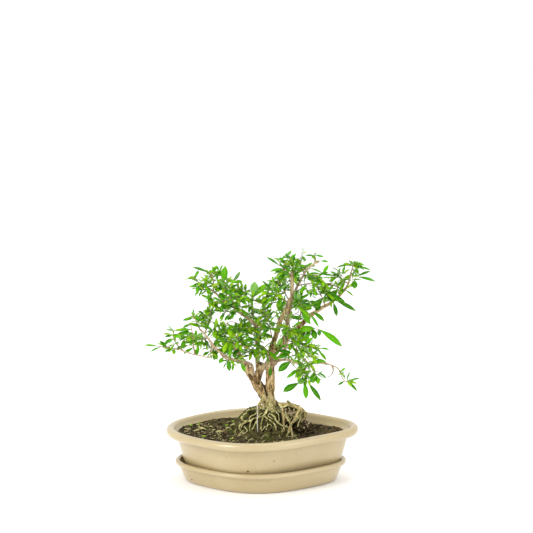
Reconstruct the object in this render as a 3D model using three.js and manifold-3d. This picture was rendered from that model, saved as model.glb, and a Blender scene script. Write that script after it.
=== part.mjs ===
// A serissa bonsai in a cream glazed pot on its saucer, in millimetres, +Z up.
// The origin is the middle of the saucer's flat underside. The tree's front faces -Y.
import * as THREE from 'three';
import { mergeVertices } from 'three/addons/utils/BufferGeometryUtils.js';
import Module from 'manifold-3d';

const wasm = await Module();
wasm.setup();
const { degToRad, lerp, smoothstep } = THREE.MathUtils;

// Driving dimensions
const POT_WIDTH = 200;
const LIP_RADIUS = 4.6;
const LIP_HEIGHT = 53.6;
const SAUCER_WIDTH = 178;
const SAUCER_LIP_RADIUS = 2.6;
const SAUCER_LIP_HEIGHT = 20.4;
const SAUCER_FLOOR = 4;
const FEET_HEIGHT = 2.7;
const SOIL_LEVEL = 46.8;
const GAP = 0.3;
const LEAF_THICKNESS = 0.6;

// Facets round the pot, and steps along a limb
const ROUND = 36;
const LIMB_STEP = 9.5;

// Plan of the pot and of the saucer: an oval with four soft lobes, deeper at its left end
const potPlan = {
  reach: (POT_WIDTH / 2 - LIP_RADIUS) / 1.045, depth: 0.75, lobes: 0.045, ends: 0.013, egg: 0.105,
  turn: degToRad(-2.2), shift: -1.6, slope: Math.tan(degToRad(0.8)),
};
const saucerPlan = {
  reach: (SAUCER_WIDTH / 2 - SAUCER_LIP_RADIUS) / 1.044, depth: 0.72, lobes: 0.044, ends: 0, egg: 0.063,
  turn: degToRad(-1), shift: -2, slope: Math.tan(degToRad(0.3)),
};

// The mossy mound that the tree grows on
const MOUND = { x: 2, y: 16, halfWidth: 45, front: 26, back: 32, height: 25, top: 0.28 };

// Where the photograph was taken from: its pixels are 1.02 mm apart at the tree
const EYE = { distance: 2000, pitch: degToRad(10.24), pixel: 1.0236, middle: 266.5, pole: 262.5, foot: 479 };

const COLOURS = {
  glaze: 0xdac89f, soil: 0x4b3d2c, bark: 0xa88f68, wire: 0xc9c8c0, mesh: 0x2c2f30,
  fresh: 0x5fae20, deep: 0x2f8a1c,
};

// Seeded draws, the same each run
function draws(seed) {
  let state = seed;
  return (low, high) => {
    state = (state * 1664525 + 1013904223) % 4294967296;
    return low + (high - low) * state / 4294967296;
  };
}

// Height of the sight line's middle that puts the pot's foot on the table
const sightHeight = -sighted(EYE.foot, 0).z;

// Where a sight line at a pixel's height is, at a distance behind the pot's middle
function sighted(down, behind) {
  const rise = (EYE.middle - down) * EYE.pixel;
  const sine = Math.sin(EYE.pitch);
  const cosine = Math.cos(EYE.pitch);
  const far = (behind - rise * sine) / (cosine + rise * sine / EYE.distance);
  const spread = 1 + far / EYE.distance;
  return { spread, z: rise * spread * cosine - far * sine };
}

// A point of the tree from the pixel that shows it and how far behind the pot's middle it is
function seen([across, down, behind]) {
  const { spread, z } = sighted(down, behind);
  const x = (EYE.middle - EYE.pole + (across - EYE.middle) * spread) * EYE.pixel;
  return new THREE.Vector3(x, behind, z + sightHeight);
}

function soilHeight(x, y) {
  const side = y < MOUND.y ? MOUND.front : MOUND.back;
  const away = Math.hypot((x - MOUND.x) / MOUND.halfWidth, (y - MOUND.y) / side);
  const rise = smoothstep(1 - away, 0, 1 - MOUND.top);
  const lumps = 0.7 * Math.sin(x / 11 + 1) * Math.cos(y / 9) + 0.4 * Math.sin(x / 5 - y / 6);
  return SOIL_LEVEL + MOUND.height * rise + lumps;
}

// The soil's surface under a pixel, or the bole's front over it, and how far in front a root lies
const BOLE_FRONT = 3;
function onSoil([across, down, lift]) {
  let behind = -40;
  let point = seen([across, down, behind]);
  while (behind < BOLE_FRONT && point.z > soilHeight(point.x, point.y)) {
    behind += 0.5;
    point = seen([across, down, behind]);
  }
  return seen([across, down, behind - lift]);
}

// Closed solids and their booleans
function toSolid(geometry) {
  const bare = geometry.clone();
  bare.deleteAttribute('normal');
  bare.deleteAttribute('uv');
  const merged = mergeVertices(bare, 1e-4);
  const index = merged.index.array;
  const triangles = [];
  for (let i = 0; i < index.length; i += 3) {
    const [a, b, c] = index.slice(i, i + 3);
    if (a !== b && b !== c && c !== a) triangles.push(a, b, c);
  }
  const vertProperties = new Float32Array(merged.attributes.position.array);
  return new wasm.Manifold(new wasm.Mesh({ numProp: 3, vertProperties, triVerts: new Uint32Array(triangles) }));
}

function toGeometry(solid) {
  const { vertProperties, triVerts } = solid.getMesh();
  const geometry = new THREE.BufferGeometry();
  geometry.setAttribute('position', new THREE.BufferAttribute(vertProperties, 3));
  geometry.setIndex(new THREE.BufferAttribute(triVerts, 1));
  geometry.computeVertexNormals();
  return geometry;
}

const join = (solids) => wasm.Manifold.union(solids);

// The biggest body of a solid: loose scraps are dropped
function largest(solid) {
  return solid.decompose().reduce((best, body) => (body.volume() > best.volume() ? body : best));
}

function moved(geometry, place) {
  const position = geometry.attributes.position;
  const point = new THREE.Vector3();
  for (let i = 0; i < position.count; i++) {
    const { x, y, z } = place(point.fromBufferAttribute(position, i), i);
    position.setXYZ(i, x, y, z);
  }
  return geometry;
}

// Plan curves of the pot and saucer
function planPoint(plan, angle) {
  const swell = 1 + plan.lobes * Math.cos(4 * angle) + plan.ends * Math.cos(3 * angle);
  const x = plan.reach * Math.cos(angle) * swell;
  const y = plan.reach * plan.depth * Math.sin(angle) * swell * (1 - plan.egg * Math.cos(angle));
  return new THREE.Vector2(x, y).rotateAround(new THREE.Vector2(), plan.turn);
}

function planNormal(plan, angle) {
  const along = planPoint(plan, angle + 0.01).sub(planPoint(plan, angle - 0.01));
  return new THREE.Vector2(along.y, -along.x).normalize();
}

// Walls run beside the lip's middle line, and floors shrink to the middle
const FLOOR_INSET = 30;
function inPlan(plan, angle, out) {
  const inset = Math.min(-out, FLOOR_INSET);
  const edge = planPoint(plan, angle).addScaledVector(planNormal(plan, angle), -inset);
  const shrink = out < -FLOOR_INSET ? (plan.reach + out) / (plan.reach - FLOOR_INSET) : 1;
  return edge.multiplyScalar(shrink);
}

// A section of [out from the lip's middle line, height] taken round the plan; heights may be a function
function dish(plan, section, height = (x, y, z) => z) {
  const count = section.length;
  const profile = section.map(([out, z]) => new THREE.Vector2(plan.reach + out, z));
  const geometry = new THREE.LatheGeometry(profile, ROUND);
  return toSolid(moved(geometry, (point, i) => {
    const [out, z] = section[i % count];
    const angle = 2 * Math.PI * (Math.floor(i / count) % ROUND) / ROUND;
    const flat = inPlan(plan, angle, out);
    const x = flat.x + plan.shift;
    return { x, y: flat.y, z: height(x, flat.y, z) };
  }));
}

const leaning = (plan, foot, top) => (x, y, z) => z + plan.slope * x * Math.max(0, z - foot) / (top - foot);

function lip(radius, height, from, to, steps) {
  return Array.from({ length: steps + 1 }, (_, i) => {
    const turn = degToRad(lerp(from, to, i / steps));
    return [radius * Math.cos(turn), height + radius * Math.sin(turn)];
  });
}

// Pot: outer wall, rolled lip, inner wall and floor, on four low feet
const POT_FOOT = SAUCER_FLOOR + GAP + FEET_HEIGHT;
const POT_FLOOR = POT_FOOT + 6.5;
const INNER_WALL = [[-16, 34], [-21, 22], [-25.5, 15.5]];
const DRAIN = { radius: 8, x: 36 };
const FOOT = { x: 38, y: 20, radius: 8 };

function makePot() {
  const axis = -potPlan.reach;
  const wall = dish(potPlan, [
    [axis, POT_FOOT], [-24.5, POT_FOOT], [-20, 10.5], [-13.6, 22], [-7, 45.5],
    ...lip(LIP_RADIUS, LIP_HEIGHT, -130, 160, 5),
    [-9.2, 49], ...INNER_WALL, [-29, POT_FLOOR], [axis, POT_FLOOR],
  ], leaning(potPlan, POT_FOOT, LIP_HEIGHT));
  const feet = [-1, 1].flatMap((side) => [-1, 1].map((end) => {
    const foot = new THREE.CylinderGeometry(FOOT.radius, FOOT.radius - 1.5, FEET_HEIGHT + 1, 8);
    foot.rotateX(Math.PI / 2).scale(1.5, 0.8, 1);
    return toSolid(foot.translate(end * FOOT.x, side * FOOT.y, POT_FOOT + 0.5 - FEET_HEIGHT / 2));
  }));
  const drains = [-1, 1].map((side) => {
    const drain = new THREE.CylinderGeometry(DRAIN.radius, DRAIN.radius, 3 * POT_FLOOR, 12);
    return toSolid(drain.rotateX(Math.PI / 2).translate(side * DRAIN.x, 0, POT_FOOT));
  });
  return join([wall, ...feet]).subtract(join(drains));
}

function makeSaucer() {
  const axis = -saucerPlan.reach;
  return dish(saucerPlan, [
    [axis, 0], [-10.4, 0], [-7.8, 1.6], [-2.6, 14],
    ...lip(SAUCER_LIP_RADIUS, SAUCER_LIP_HEIGHT, -50, 180, 4),
    [-4.6, 15], [-9.6, 6.2], [-13.5, SAUCER_FLOOR], [axis, SAUCER_FLOOR],
  ], leaning(saucerPlan, SAUCER_FLOOR, SAUCER_LIP_HEIGHT));
}

// Drain screens: square mesh plates over the two holes
const SCREEN = { side: 24, thickness: 1, holes: 3, pitch: 6.4, hole: 4 };

function makeScreen(side) {
  const plate = new THREE.BoxGeometry(SCREEN.side, SCREEN.side, SCREEN.thickness);
  const cuts = [];
  for (let i = 0; i < SCREEN.holes ** 2; i++) {
    const [across, along] = [(i % SCREEN.holes) - 1, Math.floor(i / SCREEN.holes) - 1];
    const cut = new THREE.BoxGeometry(SCREEN.hole, SCREEN.hole, 4 * SCREEN.thickness);
    cuts.push(toSolid(cut.translate(across * SCREEN.pitch, along * SCREEN.pitch, 0)));
  }
  const screen = toSolid(plate).subtract(join(cuts));
  return screen.translate(side * DRAIN.x, 0, POT_FLOOR + GAP + SCREEN.thickness / 2);
}

// Soil: it fills the pot with a small gap, and its top is the mound
const SOIL_RINGS = [1, 0.78, 0.62, 0.48, 0.34, 0.18, 0];

function makeSoil(roots) {
  const axis = -potPlan.reach;
  const bottom = POT_FLOOR + GAP;
  const wall = [...INNER_WALL].reverse().map(([out, z]) => [out - GAP, z + GAP]);
  const edge = -11.8;
  const top = SOIL_RINGS.map((share) => [axis + (potPlan.reach + edge) * share, null]);
  const lean = leaning(potPlan, POT_FOOT, LIP_HEIGHT);
  const body = dish(potPlan, [[axis, bottom], [-29 - GAP, bottom], ...wall, ...top],
    (x, y, z) => (z === null ? soilHeight(x, y) : lean(x, y, z)));
  const hollows = [-1, 1].map((side) => {
    const room = new THREE.BoxGeometry(SCREEN.side + 2 * GAP, SCREEN.side + 2 * GAP, 2 * (SCREEN.thickness + 2 * GAP));
    return toSolid(room.translate(side * DRAIN.x, 0, bottom));
  });
  return largest(body.subtract(join(hollows)).subtract(roots));
}

// A tapering rod along a curve; its ends and sides stand out by grow
function rod(points, radii, sides, step, grow = 0) {
  const curve = new THREE.CatmullRomCurve3(points, false, 'centripetal');
  const steps = Math.max(1, Math.round(curve.getLength() / step));
  const { normals, binormals, tangents } = curve.computeFrenetFrames(steps, false);
  const geometry = new THREE.CylinderGeometry(1, 1, 1, sides, steps);
  return toSolid(moved(geometry, ({ x, y, z }) => {
    const share = y + 0.5;
    const place = Math.round(share * steps);
    const spot = share * (radii.length - 1);
    const start = Math.min(Math.floor(spot), radii.length - 2);
    const radius = grow + lerp(radii[start], radii[start + 1], spot - start);
    const end = place === 0 ? -grow : place === steps ? grow : 0;
    return curve.getPointAt(place / steps)
      .addScaledVector(binormals[place], x * radius)
      .addScaledVector(normals[place], z * radius)
      .addScaledVector(tangents[place], end);
  }));
}

// Wood, from the bole out: each limb's course in the photograph, its radii and its sides
const LIMBS = {
  bole: { course: [[270, 421, 13], [269.6, 410, 12], [268.8, 401, 12], [268, 391, 12]], radii: [12, 8.6, 7.1, 6.4],
    sides: 10 },
  right: { course: [[268, 397, 12], [269.8, 387, 12], [270, 378, 12], [270, 368, 12], [271, 358, 13], [271.6, 350, 13]],
    radii: [6, 5.1, 4.7, 4.5, 4.3, 3.9], sides: 7 },
  left: { course: [[266.5, 398, 11], [261, 390, 10], [256.6, 384, 9], [253.4, 377, 9]], radii: [6, 5.6, 5.3, 4.2],
    sides: 7 },
  sawn: { course: [[256, 382, 10], [258, 375, 12], [260, 368, 13], [261, 362.6, 13]], radii: [4.6, 4.4, 4, 3.6],
    sides: 7 },
  shelf: { course: [[254.5, 380, 9], [249.5, 373, 7], [246.4, 367, 5], [242, 359, 2], [238, 352, 0], [233.5, 344.5, -2],
    [229, 338, -4]], radii: [4.4, 3.9, 3.4, 2.4, 1.9, 1.5, 1.1], sides: 5 },
  crest: { course: [[258, 372, 13], [257.4, 362, 15], [258, 350, 15], [258, 337, 13], [257, 328.2, 10], [252.6, 322.6, 8],
    [247.5, 317.6, 6], [242.7, 314.5, 5], [238.4, 311.6, 4], [235, 307.7, 3], [229, 304, 2], [223, 301, 2],
    [218.6, 296, 1], [213.7, 291.6, 1], [209.2, 288.5, 0]], radii: [2.4, 2.2, 2.1, 2, 1.7, 1.5, 1.3, 1], sides: 5 },
  slender: { course: [[253, 372, 7], [251.6, 365, 2], [245.8, 362.4, -3], [237.3, 361, -7], [227, 356.9, -11],
    [221, 353.1, -14], [214, 346.6, -16], [210, 341, -17], [206.6, 336.7, -18], [203, 331.9, -19], [199.4, 329.2, -20]],
  radii: [1.8, 1.7, 1.5, 1.4, 1.3, 1], sides: 5 },
  leader: { course: [[271, 354, 13], [272.4, 346, 12], [274.8, 338.9, 11], [277, 332, 9], [278.6, 326, 8], [280, 320, 7],
    [283.4, 315, 6], [286.6, 309.5, 5], [289, 301.6, 4], [291.6, 297.6, 3], [292, 289, 2], [292.2, 281, 1],
    [291.8, 270.4, 0]], radii: [3.6, 2.9, 2.6, 2.5, 2.2, 2, 1.8, 1.7], sides: 5 },
  behind: { course: [[272, 356, 14], [276.6, 350, 17], [280, 345.6, 19], [283.6, 340.6, 21], [290, 334, 25],
    [297.8, 328, 29], [306, 319.6, 34], [314, 313, 37], [322, 307.6, 38], [330.5, 303, 38], [338, 297, 36],
    [344.6, 290, 34], [349, 282, 32], [351, 272, 30]], radii: [3.2, 2.8, 2.4, 2.2, 2, 1.6, 1.3, 1], sides: 5 },
  second: { course: [[281, 345.6, 19], [284.6, 336, 19], [286.4, 327.3, 18], [288.2, 316, 17], [291, 306, 16],
    [294, 297, 14], [296.5, 288, 13], [299.6, 281.6, 12], [303.7, 275, 11], [306, 270.6, 9], [311.3, 265.5, 8],
    [319.3, 261.5, 6]], radii: [2, 1.8, 1.7, 1.5, 1.3, 1], sides: 5 },
  low: { course: [[273, 363, 11], [278.8, 360.6, 4], [286.4, 359.7, -6], [293, 361.4, -14], [299, 364.4, -20],
    [303.6, 369, -24], [306.4, 375, -26]], radii: [1.8, 1.5, 1.3, 1.1, 0.9], sides: 5 },
  reach: { course: [[213.4, 346.2, -16], [211, 352, -18], [209.6, 357, -20], [200, 355.6, -25], [194.5, 354.6, -28],
    [186, 352, -32], [178, 349.4, -35]], radii: [1.2, 1.1, 1, 0.9], sides: 5 },
  rear: { course: [[272, 366, 14], [277, 360, 26], [283, 352, 38], [287, 343, 47], [288, 333, 53], [286, 322, 57]],
    radii: [2.6, 2.2, 1.8, 1.4, 1], sides: 5 },
  rearLeft: { course: [[256, 380, 12], [250, 371, 22], [243, 361, 33], [236, 350, 42], [231, 340, 48], [228, 330, 52]],
    radii: [2.6, 2.2, 1.8, 1.4, 1], sides: 5 },
};

// Old roots in the open, and thin roots over the mound's front; the third number is a lift off the soil
const OPEN_ROOTS = {
  arch: { course: [[273, 400, 13], [278, 404.4, 9], [283.4, 404.2, 6], [290, 404.4, 4], [299, 407.4, 2],
    [305.6, 411.6, 1], [308, 418, 0], [306.4, 426, 0]], radii: [3, 2.6, 2.4, 2.4, 2.2, 2, 1.6], sides: 6 },
  stub: { course: [[291, 405.5, 4], [289, 402.6, 3], [286.8, 400.6, 2]], radii: [1.9, 1.5, 1.2], sides: 5 },
  loop: { course: [[264.6, 398, 8], [260.6, 401, 3], [257.4, 405, -2], [256.8, 408.6, -1], [257.6, 416, 4]],
    radii: [2, 1.6, 1.3, 1.1], sides: 5 },
  first: { course: [[282.4, 404.4, 5], [282.6, 412, 0], [283.2, 418, -4], [283.9, 424.4, -7], [284, 432, -7]],
    radii: [1.3, 1.1, 0.9], sides: 5 },
  second: { course: [[299.4, 408, 2], [296, 416, -2], [293, 421.6, -5], [290, 427, -8], [287.2, 436, -8]],
    radii: [1.6, 1.3, 0.9], sides: 5 },
  third: { course: [[304.2, 411.6, 1], [300, 416, -2], [296.5, 419.5, -4], [290.9, 425, -7], [291.5, 430, -9],
    [293, 439, -9]], radii: [1.6, 1.3, 1.1, 0.9], sides: 5 },
  cross: { course: [[283, 412, -1], [287, 418.5, -4], [290.4, 424, -7]], radii: [1, 0.9], sides: 4 },
};
const MOUND_ROOTS = {
  spread: { course: [[267, 409, 0], [263.5, 416, 2.2], [261.5, 423, 2.2], [260.6, 432, -2]], radii: [1.3, 1, 0.8] },
  splay: { course: [[263.8, 415.4, 2.2], [268, 419, 2.4], [272, 421.6, 2.4], [275.6, 426, 2.6], [276.4, 434, -3]],
    radii: [1.1, 1, 0.8] },
  wander: { course: [[268, 407, 0], [265.6, 414, 2.2], [259.3, 417.4, 2.4], [253, 418.8, 2.2], [250.2, 424.4, 2.2],
    [249.5, 434.5, -2]], radii: [1.3, 1.1, 0.9] },
  reach: { course: [[253.4, 418.6, 2.2], [249, 421.2, 2.2], [244.6, 420.9, 2], [240.4, 417.6, -2]], radii: [1, 0.8] },
  turn: { course: [[248.6, 421.2, 2.2], [242.4, 424.4, 2.2], [240.2, 432, -2]], radii: [0.9, 0.8] },
};
const BACK_ROOTS = { from: 10, to: 170, count: 4, reach: 30, radii: [2.4, 1.6, 0.9] };

function backRoots() {
  const draw = draws(41);
  return Array.from({ length: BACK_ROOTS.count }, (_, i) => {
    const turn = degToRad(lerp(BACK_ROOTS.from, BACK_ROOTS.to, i / (BACK_ROOTS.count - 1)) + draw(-8, 8));
    const reach = BACK_ROOTS.reach * draw(0.8, 1.2);
    return [0.1, 0.4, 0.7, 1].map((share) => {
      const bend = turn + share * draw(-0.3, 0.3);
      const x = 8 + share * reach * Math.cos(bend);
      const y = 12 + share * reach * Math.sin(bend);
      return new THREE.Vector3(x, y, soilHeight(x, y) + (share === 1 ? -2.5 : 0.5));
    });
  });
}

function woodSolids(grow) {
  const limbs = Object.values({ ...LIMBS, ...OPEN_ROOTS }).map(({ course, radii, sides }) =>
    rod(course.map(seen), radii, sides, LIMB_STEP, grow));
  const thin = Object.values(MOUND_ROOTS).map(({ course, radii }) => rod(course.map(onSoil), radii, 4, 9, grow));
  const back = backRoots().map((points) => rod(points, BACK_ROOTS.radii, 5, 9, grow));
  return join([...limbs, ...thin, ...back]);
}

// Tie wire: hooked over the root loop, straight down and into the soil
const WIRE = { radius: 0.75, top: [257, 405.4, -6], foot: [257.8, 430.6, -7], hook: 2.6, bury: 6 };

function wireCourse() {
  const top = seen(WIRE.top);
  const foot = seen(WIRE.foot);
  const over = new THREE.Vector3(top.x, top.y + 1, top.z + WIRE.hook);
  const back = new THREE.Vector3(top.x - 0.6, top.y + WIRE.hook + 3, top.z + WIRE.hook - 0.6);
  const buried = new THREE.Vector3(foot.x, foot.y, foot.z - WIRE.bury);
  return [back, over, top, top.clone().lerp(foot, 0.5), foot, buried];
}

// Leafy sprays: woody twigs, the tips of their shoots, and their large leaves
// A leaf is its foot and its point in the photograph, each with its distance behind, and its width
const SPRAYS = {
  left_outer: {
    twigs: [[[178.8, 349.6, -34.8], [174, 348.6, -36], [167, 347.4, -37], [159, 346.3, -39]]],
    tips: [[166, 347, -35]],
    fill: [[172, 350, -38]],
    leaves: [[158.6, 346.2, -39, 144.5, 345.3, -42, 2.2], [160.4, 347, -38.6, 149.1, 350.8, -36, 2.2],
      [163, 346.6, -38, 171, 338.6, -44, 4], [167, 347, -37, 160.6, 341, -40, 3.4],
      [172.6, 349, -36, 164.8, 351.6, -36, 2.8], [174, 348.6, -36, 174.4, 354, -36, 3.4]],
  },
  left_crook: {
    twigs: [[[184, 351.4, -32.6], [178.6, 346.4, -33.4], [174.4, 340.6, -36], [173.4, 336, -38], [174.2, 330, -39]]],
    tips: [[174.4, 329.5, -39], [174.2, 345, -36], [173.6, 334.6, -42]],
    fill: [[178, 340, -36]],
    leaves: [[173.4, 339, -37.6, 167, 341.8, -33, 4.6], [172.8, 335.6, -38, 164.8, 336.8, -42, 2.4],
      [173.6, 330.6, -39, 166.1, 329.7, -43, 1.8]],
  },
  left_upright: {
    twigs: [[[194.9, 355.1, -27.7], [193.6, 346, -27], [193, 338, -28], [191.8, 330, -29], [190.5, 324, -29]]],
    tips: [[184, 346.5, -29], [196, 336.5, -24], [190, 341.6, -26]],
    fill: [[186, 337, -34], [183.6, 340, -36], [193.4, 343, -22]],
    leaves: [[190.6, 324.4, -29, 183.4, 327, -34, 3], [191.8, 329.6, -29, 176.2, 329, -36, 3.2],
      [192.4, 333.4, -28.4, 178.4, 332.8, -34, 4.2], [193.6, 347.4, -27, 183.6, 353.8, -29, 3.4],
      [194, 349, -27.2, 198, 355.2, -25, 4.2]],
  },
  left_end: {
    twigs: [[[200, 329.6, -20], [197, 324, -21], [195.6, 319.6, -22], [193.8, 315, -23]]],
    tips: [[193.6, 314.6, -23], [198, 322, -26], [203, 324.6, -16]],
    fill: [[190.4, 316.4, -22], [200, 326, -24], [202, 318.6, -12]],
    leaves: [[192.6, 318.6, -23, 183.4, 319.2, -28, 3.2], [203, 313.8, -16, 198, 317.2, -14, 3]],
  },
  left_riser: {
    twigs: [[[204.5, 333.6, -19], [207.5, 327, -15], [210.6, 320.5, -12], [211, 314, -10], [209.4, 308, -9],
      [208.6, 301, -8], [211.5, 295, -7]]],
    tips: [[211.7, 294.5, -7], [208, 302, -12], [207.6, 309.4, -14], [205, 315.6, -14], [214, 308, -4],
      [206, 320.5, -16]],
    fill: [[209, 298, -4], [212, 303.6, -12], [203.4, 312.6, -10], [209, 316, -6]],
    leaves: [[209, 322, -14, 205, 329, -18, 4.6], [212.6, 321.6, -10, 221.6, 328, -8, 3.4]],
  },
  left_inner: {
    twigs: [[[207.4, 338, -18], [203, 340, -8], [199, 342, 2], [194, 341, 10]]],
    tips: [[194, 341, 10], [199, 336.6, 4], [201.6, 343.6, -6], [204.4, 337.6, -8]],
    fill: [[197.6, 346, 4], [206, 344, -12], [192, 337, 12]],
    leaves: [[205, 343, -14, 196.6, 343.2, -20, 4.4]],
  },
  left_low: {
    twigs: [[[211.8, 344, -16.5], [211.6, 350, -10], [213.6, 355, -6]]],
    tips: [[213.6, 355, -6], [208.6, 348, -8], [217, 350, -9]],
    fill: [[215, 347, -10], [210, 353, -14]],
    leaves: [[209.4, 351.6, -10, 202.8, 354.8, -12, 3.6], [214.4, 353.4, -7, 217.2, 359.2, -10, 4]],
  },
  left_hang: {
    twigs: [[[220.6, 352.9, -14], [223, 357, -18], [229, 360, -19], [235, 361.6, -17], [241, 362, -14]]],
    tips: [],
    fill: [[226, 363, -14], [232, 357.6, -22], [238, 359, -18]],
    leaves: [[223.4, 357.4, -18, 219, 362.6, -22, 4.2], [228.2, 359.6, -19, 229.4, 371, -24, 5],
      [233.8, 361.2, -17, 232.4, 370.8, -20, 2.8], [240.8, 362, -14, 245, 371.8, -18, 4]],
  },
  crest_tip: {
    twigs: [[[210.4, 289.2, 0], [204.6, 285.6, -2], [199.7, 283, -4], [195.5, 280, -6], [193.6, 278.4, -7]]],
    tips: [[193.6, 278.4, -7], [199.6, 286, -6], [204.6, 280, 0], [206.6, 291, -2]],
    fill: [[201.6, 281.6, -8], [197, 288, -2], [207.6, 284, -6], [203, 287, 4]],
    leaves: [[193.8, 277.6, -7, 198, 272, -9, 2.6], [193, 278.6, -8, 187.8, 278, -8, 1.8],
      [198, 284.4, -5, 191.6, 286.4, -8, 2.8], [200.6, 288, -5, 194.6, 296, -8, 2.2],
      [203, 289, -4, 198.2, 296, -8, 2.2], [203.6, 286, -4, 211.4, 291.8, -10, 3.6]],
  },
  crest_top: {
    twigs: [[[213.4, 291.4, 1], [213.2, 281.8, 4], [211.5, 276, 6], [209.2, 272.7, 6]]],
    tips: [[214.6, 276, 10], [219.6, 270.6, 10], [208.6, 278.6, 4], [218, 281, 12]],
    fill: [[211, 273.6, 8], [216.6, 273, 4], [215, 284, -2]],
    leaves: [[208.8, 272.6, 6, 194.2, 266, 2, 2.8], [212.4, 272, 7, 217.4, 266.4, 8, 2.8]],
  },
  crest_middle: {
    twigs: [[[232, 306, 3], [231, 298, 0], [228, 292.4, -2], [225, 286, -4], [223.6, 282.6, -4]]],
    tips: [[228.6, 281.4, -2], [219, 284, -6], [220.6, 294, -4], [230.4, 287.6, -6]],
    fill: [[224, 288.6, -8], [217.6, 287.6, -2], [226.6, 284.4, 2], [233, 293, -4]],
    leaves: [[223.4, 282.4, -4, 225, 267.2, -5, 7.2], [225.4, 295.4, -3, 220.4, 299.8, -8, 4]],
  },
  crest_right: {
    twigs: [[[237, 309, 4], [237.6, 300, 9], [236, 292, 12], [233.6, 286, 13], [232.5, 282.4, 13]]],
    tips: [[240, 292.4, 14], [246, 291, 16], [243.4, 287.6, 12], [234, 291, 16]],
    fill: [[241, 296, 10], [238, 289, 8], [245, 296, 12]],
    leaves: [[232.5, 281.8, 13, 241.2, 272, 14, 4], [233, 282.6, 13, 242.2, 281.3, 10, 4]],
  },
  crest_front: {
    twigs: [[[226, 302.6, 2], [226.6, 300, -6], [230, 297, -12], [236, 298.6, -15]]],
    tips: [[230.4, 296.6, -14], [236, 299, -16], [226, 304.6, -12], [219.6, 302, -10], [239.6, 301.6, -10]],
    fill: [[222.6, 303.6, -14], [232.6, 303, -14], [216.6, 305, -8], [228.4, 300, -18], [236.6, 305, -12]],
    leaves: [[240.6, 300.6, -12, 247, 304.4, -16, 3.4]],
  },
  crest_under: {
    twigs: [[[238.6, 311.8, 4], [232, 312.4, -4], [226, 311, -9], [220.6, 311, -12]]],
    tips: [[220, 311, -12], [228, 308.6, -12], [224, 316, -10], [233.4, 315.6, -6], [214.6, 312.6, -10]],
    fill: [[230, 312.6, -14], [236, 308, -10], [217, 315, -14], [225, 312, -4]],
    leaves: [[225, 313.4, -10, 220, 318.8, -12, 3], [229.6, 314, -8, 224.6, 320.8, -12, 3.2],
      [233, 314, -6, 229.8, 319.4, -8, 2.8], [239, 309, -2, 246, 312, -10, 3.6]],
  },
  crest_back: {
    twigs: [[[244, 315.4, 5.5], [240, 309, 18], [234, 302, 28], [226, 296, 36]]],
    tips: [[226, 296, 36], [234, 297, 34], [240, 303, 26], [219, 302, 34], [230, 309, 30], [243, 308, 30]],
    fill: [[222, 306, 26], [236, 310, 20], [228, 302, 42], [238, 297, 24]],
    leaves: [],
  },
  saddle: {
    twigs: [[[254, 324.4, 8.6], [252.4, 314, 2], [251.2, 306, -2], [252.6, 300, -4], [253.4, 297.4, -4]]],
    tips: [[251, 299, -8], [257, 299.6, -4], [248.4, 305, -6], [255, 314, -4], [259, 303, 2], [249, 312, 4]],
    fill: [[245.6, 318, -2], [262, 301.6, -2], [254, 308, -8], [252, 318, -4], [258, 309, 6]],
    leaves: [[253.4, 297, -4, 255.6, 281.2, -5, 9], [253.8, 296.8, -4, 265.4, 283.2, -7, 6.4],
      [262, 300.6, -4, 271, 294.6, -6, 3.4]],
  },
  shelf_end: {
    twigs: [[[230.6, 340.4, -3.6], [225, 335, -8], [219, 331.6, -12], [215, 332, -14]]],
    tips: [[215, 332, -14], [222, 329, -12], [218.6, 337, -16], [228, 331, -14], [212.6, 327, -10]],
    fill: [[220, 334, -6], [225, 339, -14], [216, 327.6, -18], [213, 335, -20]],
    leaves: [[226, 333.6, -9, 231.6, 325, -14, 3.4]],
  },
  shelf_top: {
    twigs: [[[235, 347, -1.4], [236, 339, 4], [240, 331, 8], [244, 326, 10]]],
    tips: [[244, 326, 10], [237, 327.6, 10], [232, 333, 6], [246, 333, 6], [240, 321.6, 14]],
    fill: [[241, 330, 0], [234.6, 338, -4], [248.6, 328, 4], [237, 333, 14]],
    leaves: [[238, 330, 4, 229, 324, 2, 3.4]],
  },
  shelf_front: {
    twigs: [[[239.5, 354.4, 0.2], [241, 348.3, -10], [240.6, 342, -18], [236, 337, -22]]],
    tips: [[236, 336.6, -22], [243, 339.6, -20], [231, 343, -20], [246.6, 346, -14], [228, 348.6, -22]],
    fill: [[238, 345, -22], [240, 336, -16], [233.6, 349, -16], [247, 341, -20], [226, 343, -24]],
    leaves: [[242, 345, -16, 250, 338, -20, 4]],
  },
  shelf_low: {
    twigs: [[[243.6, 361.6, 3.4], [240, 357, 12], [234, 353.6, 18], [227, 351.6, 22]]],
    tips: [[227, 351.6, 22], [234, 349, 22], [240, 351, 18], [231, 357, 16], [220.6, 346, 20]],
    fill: [[237.6, 345, 16], [224, 346.6, 14], [243, 354, 12], [230, 345, 28]],
    leaves: [],
  },
  heart: {
    twigs: [[[258.2, 344, 14.6], [254.6, 346, 5], [251, 350, -2]],
      [[254.6, 346, 5], [257, 340, 0], [261, 335, 0], [264, 331, 2]]],
    tips: [[251, 350.6, -3], [247.6, 351.6, 4], [256, 339, 2], [261.6, 327, 4], [252.4, 334, 6]],
    fill: [[249, 345, 8], [254, 342, -4], [258.6, 331, 8], [255.4, 353, 2], [264, 336, -4]],
    leaves: [[261, 334, 6, 271.6, 336, 0, 5], [259.4, 344.4, 10, 266.8, 351, 6, 3.6]],
  },
  inner: {
    twigs: [[[271.4, 353, 12.6], [267, 350, 4], [262.6, 347, -4], [259, 349, -8]]],
    tips: [[259, 349, -9], [263.6, 342, -4], [262, 355.6, -6], [268, 346, -4]],
    fill: [[256, 345, -8], [266.6, 356, -2], [260, 352, -14], [265, 349, 10]],
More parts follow.
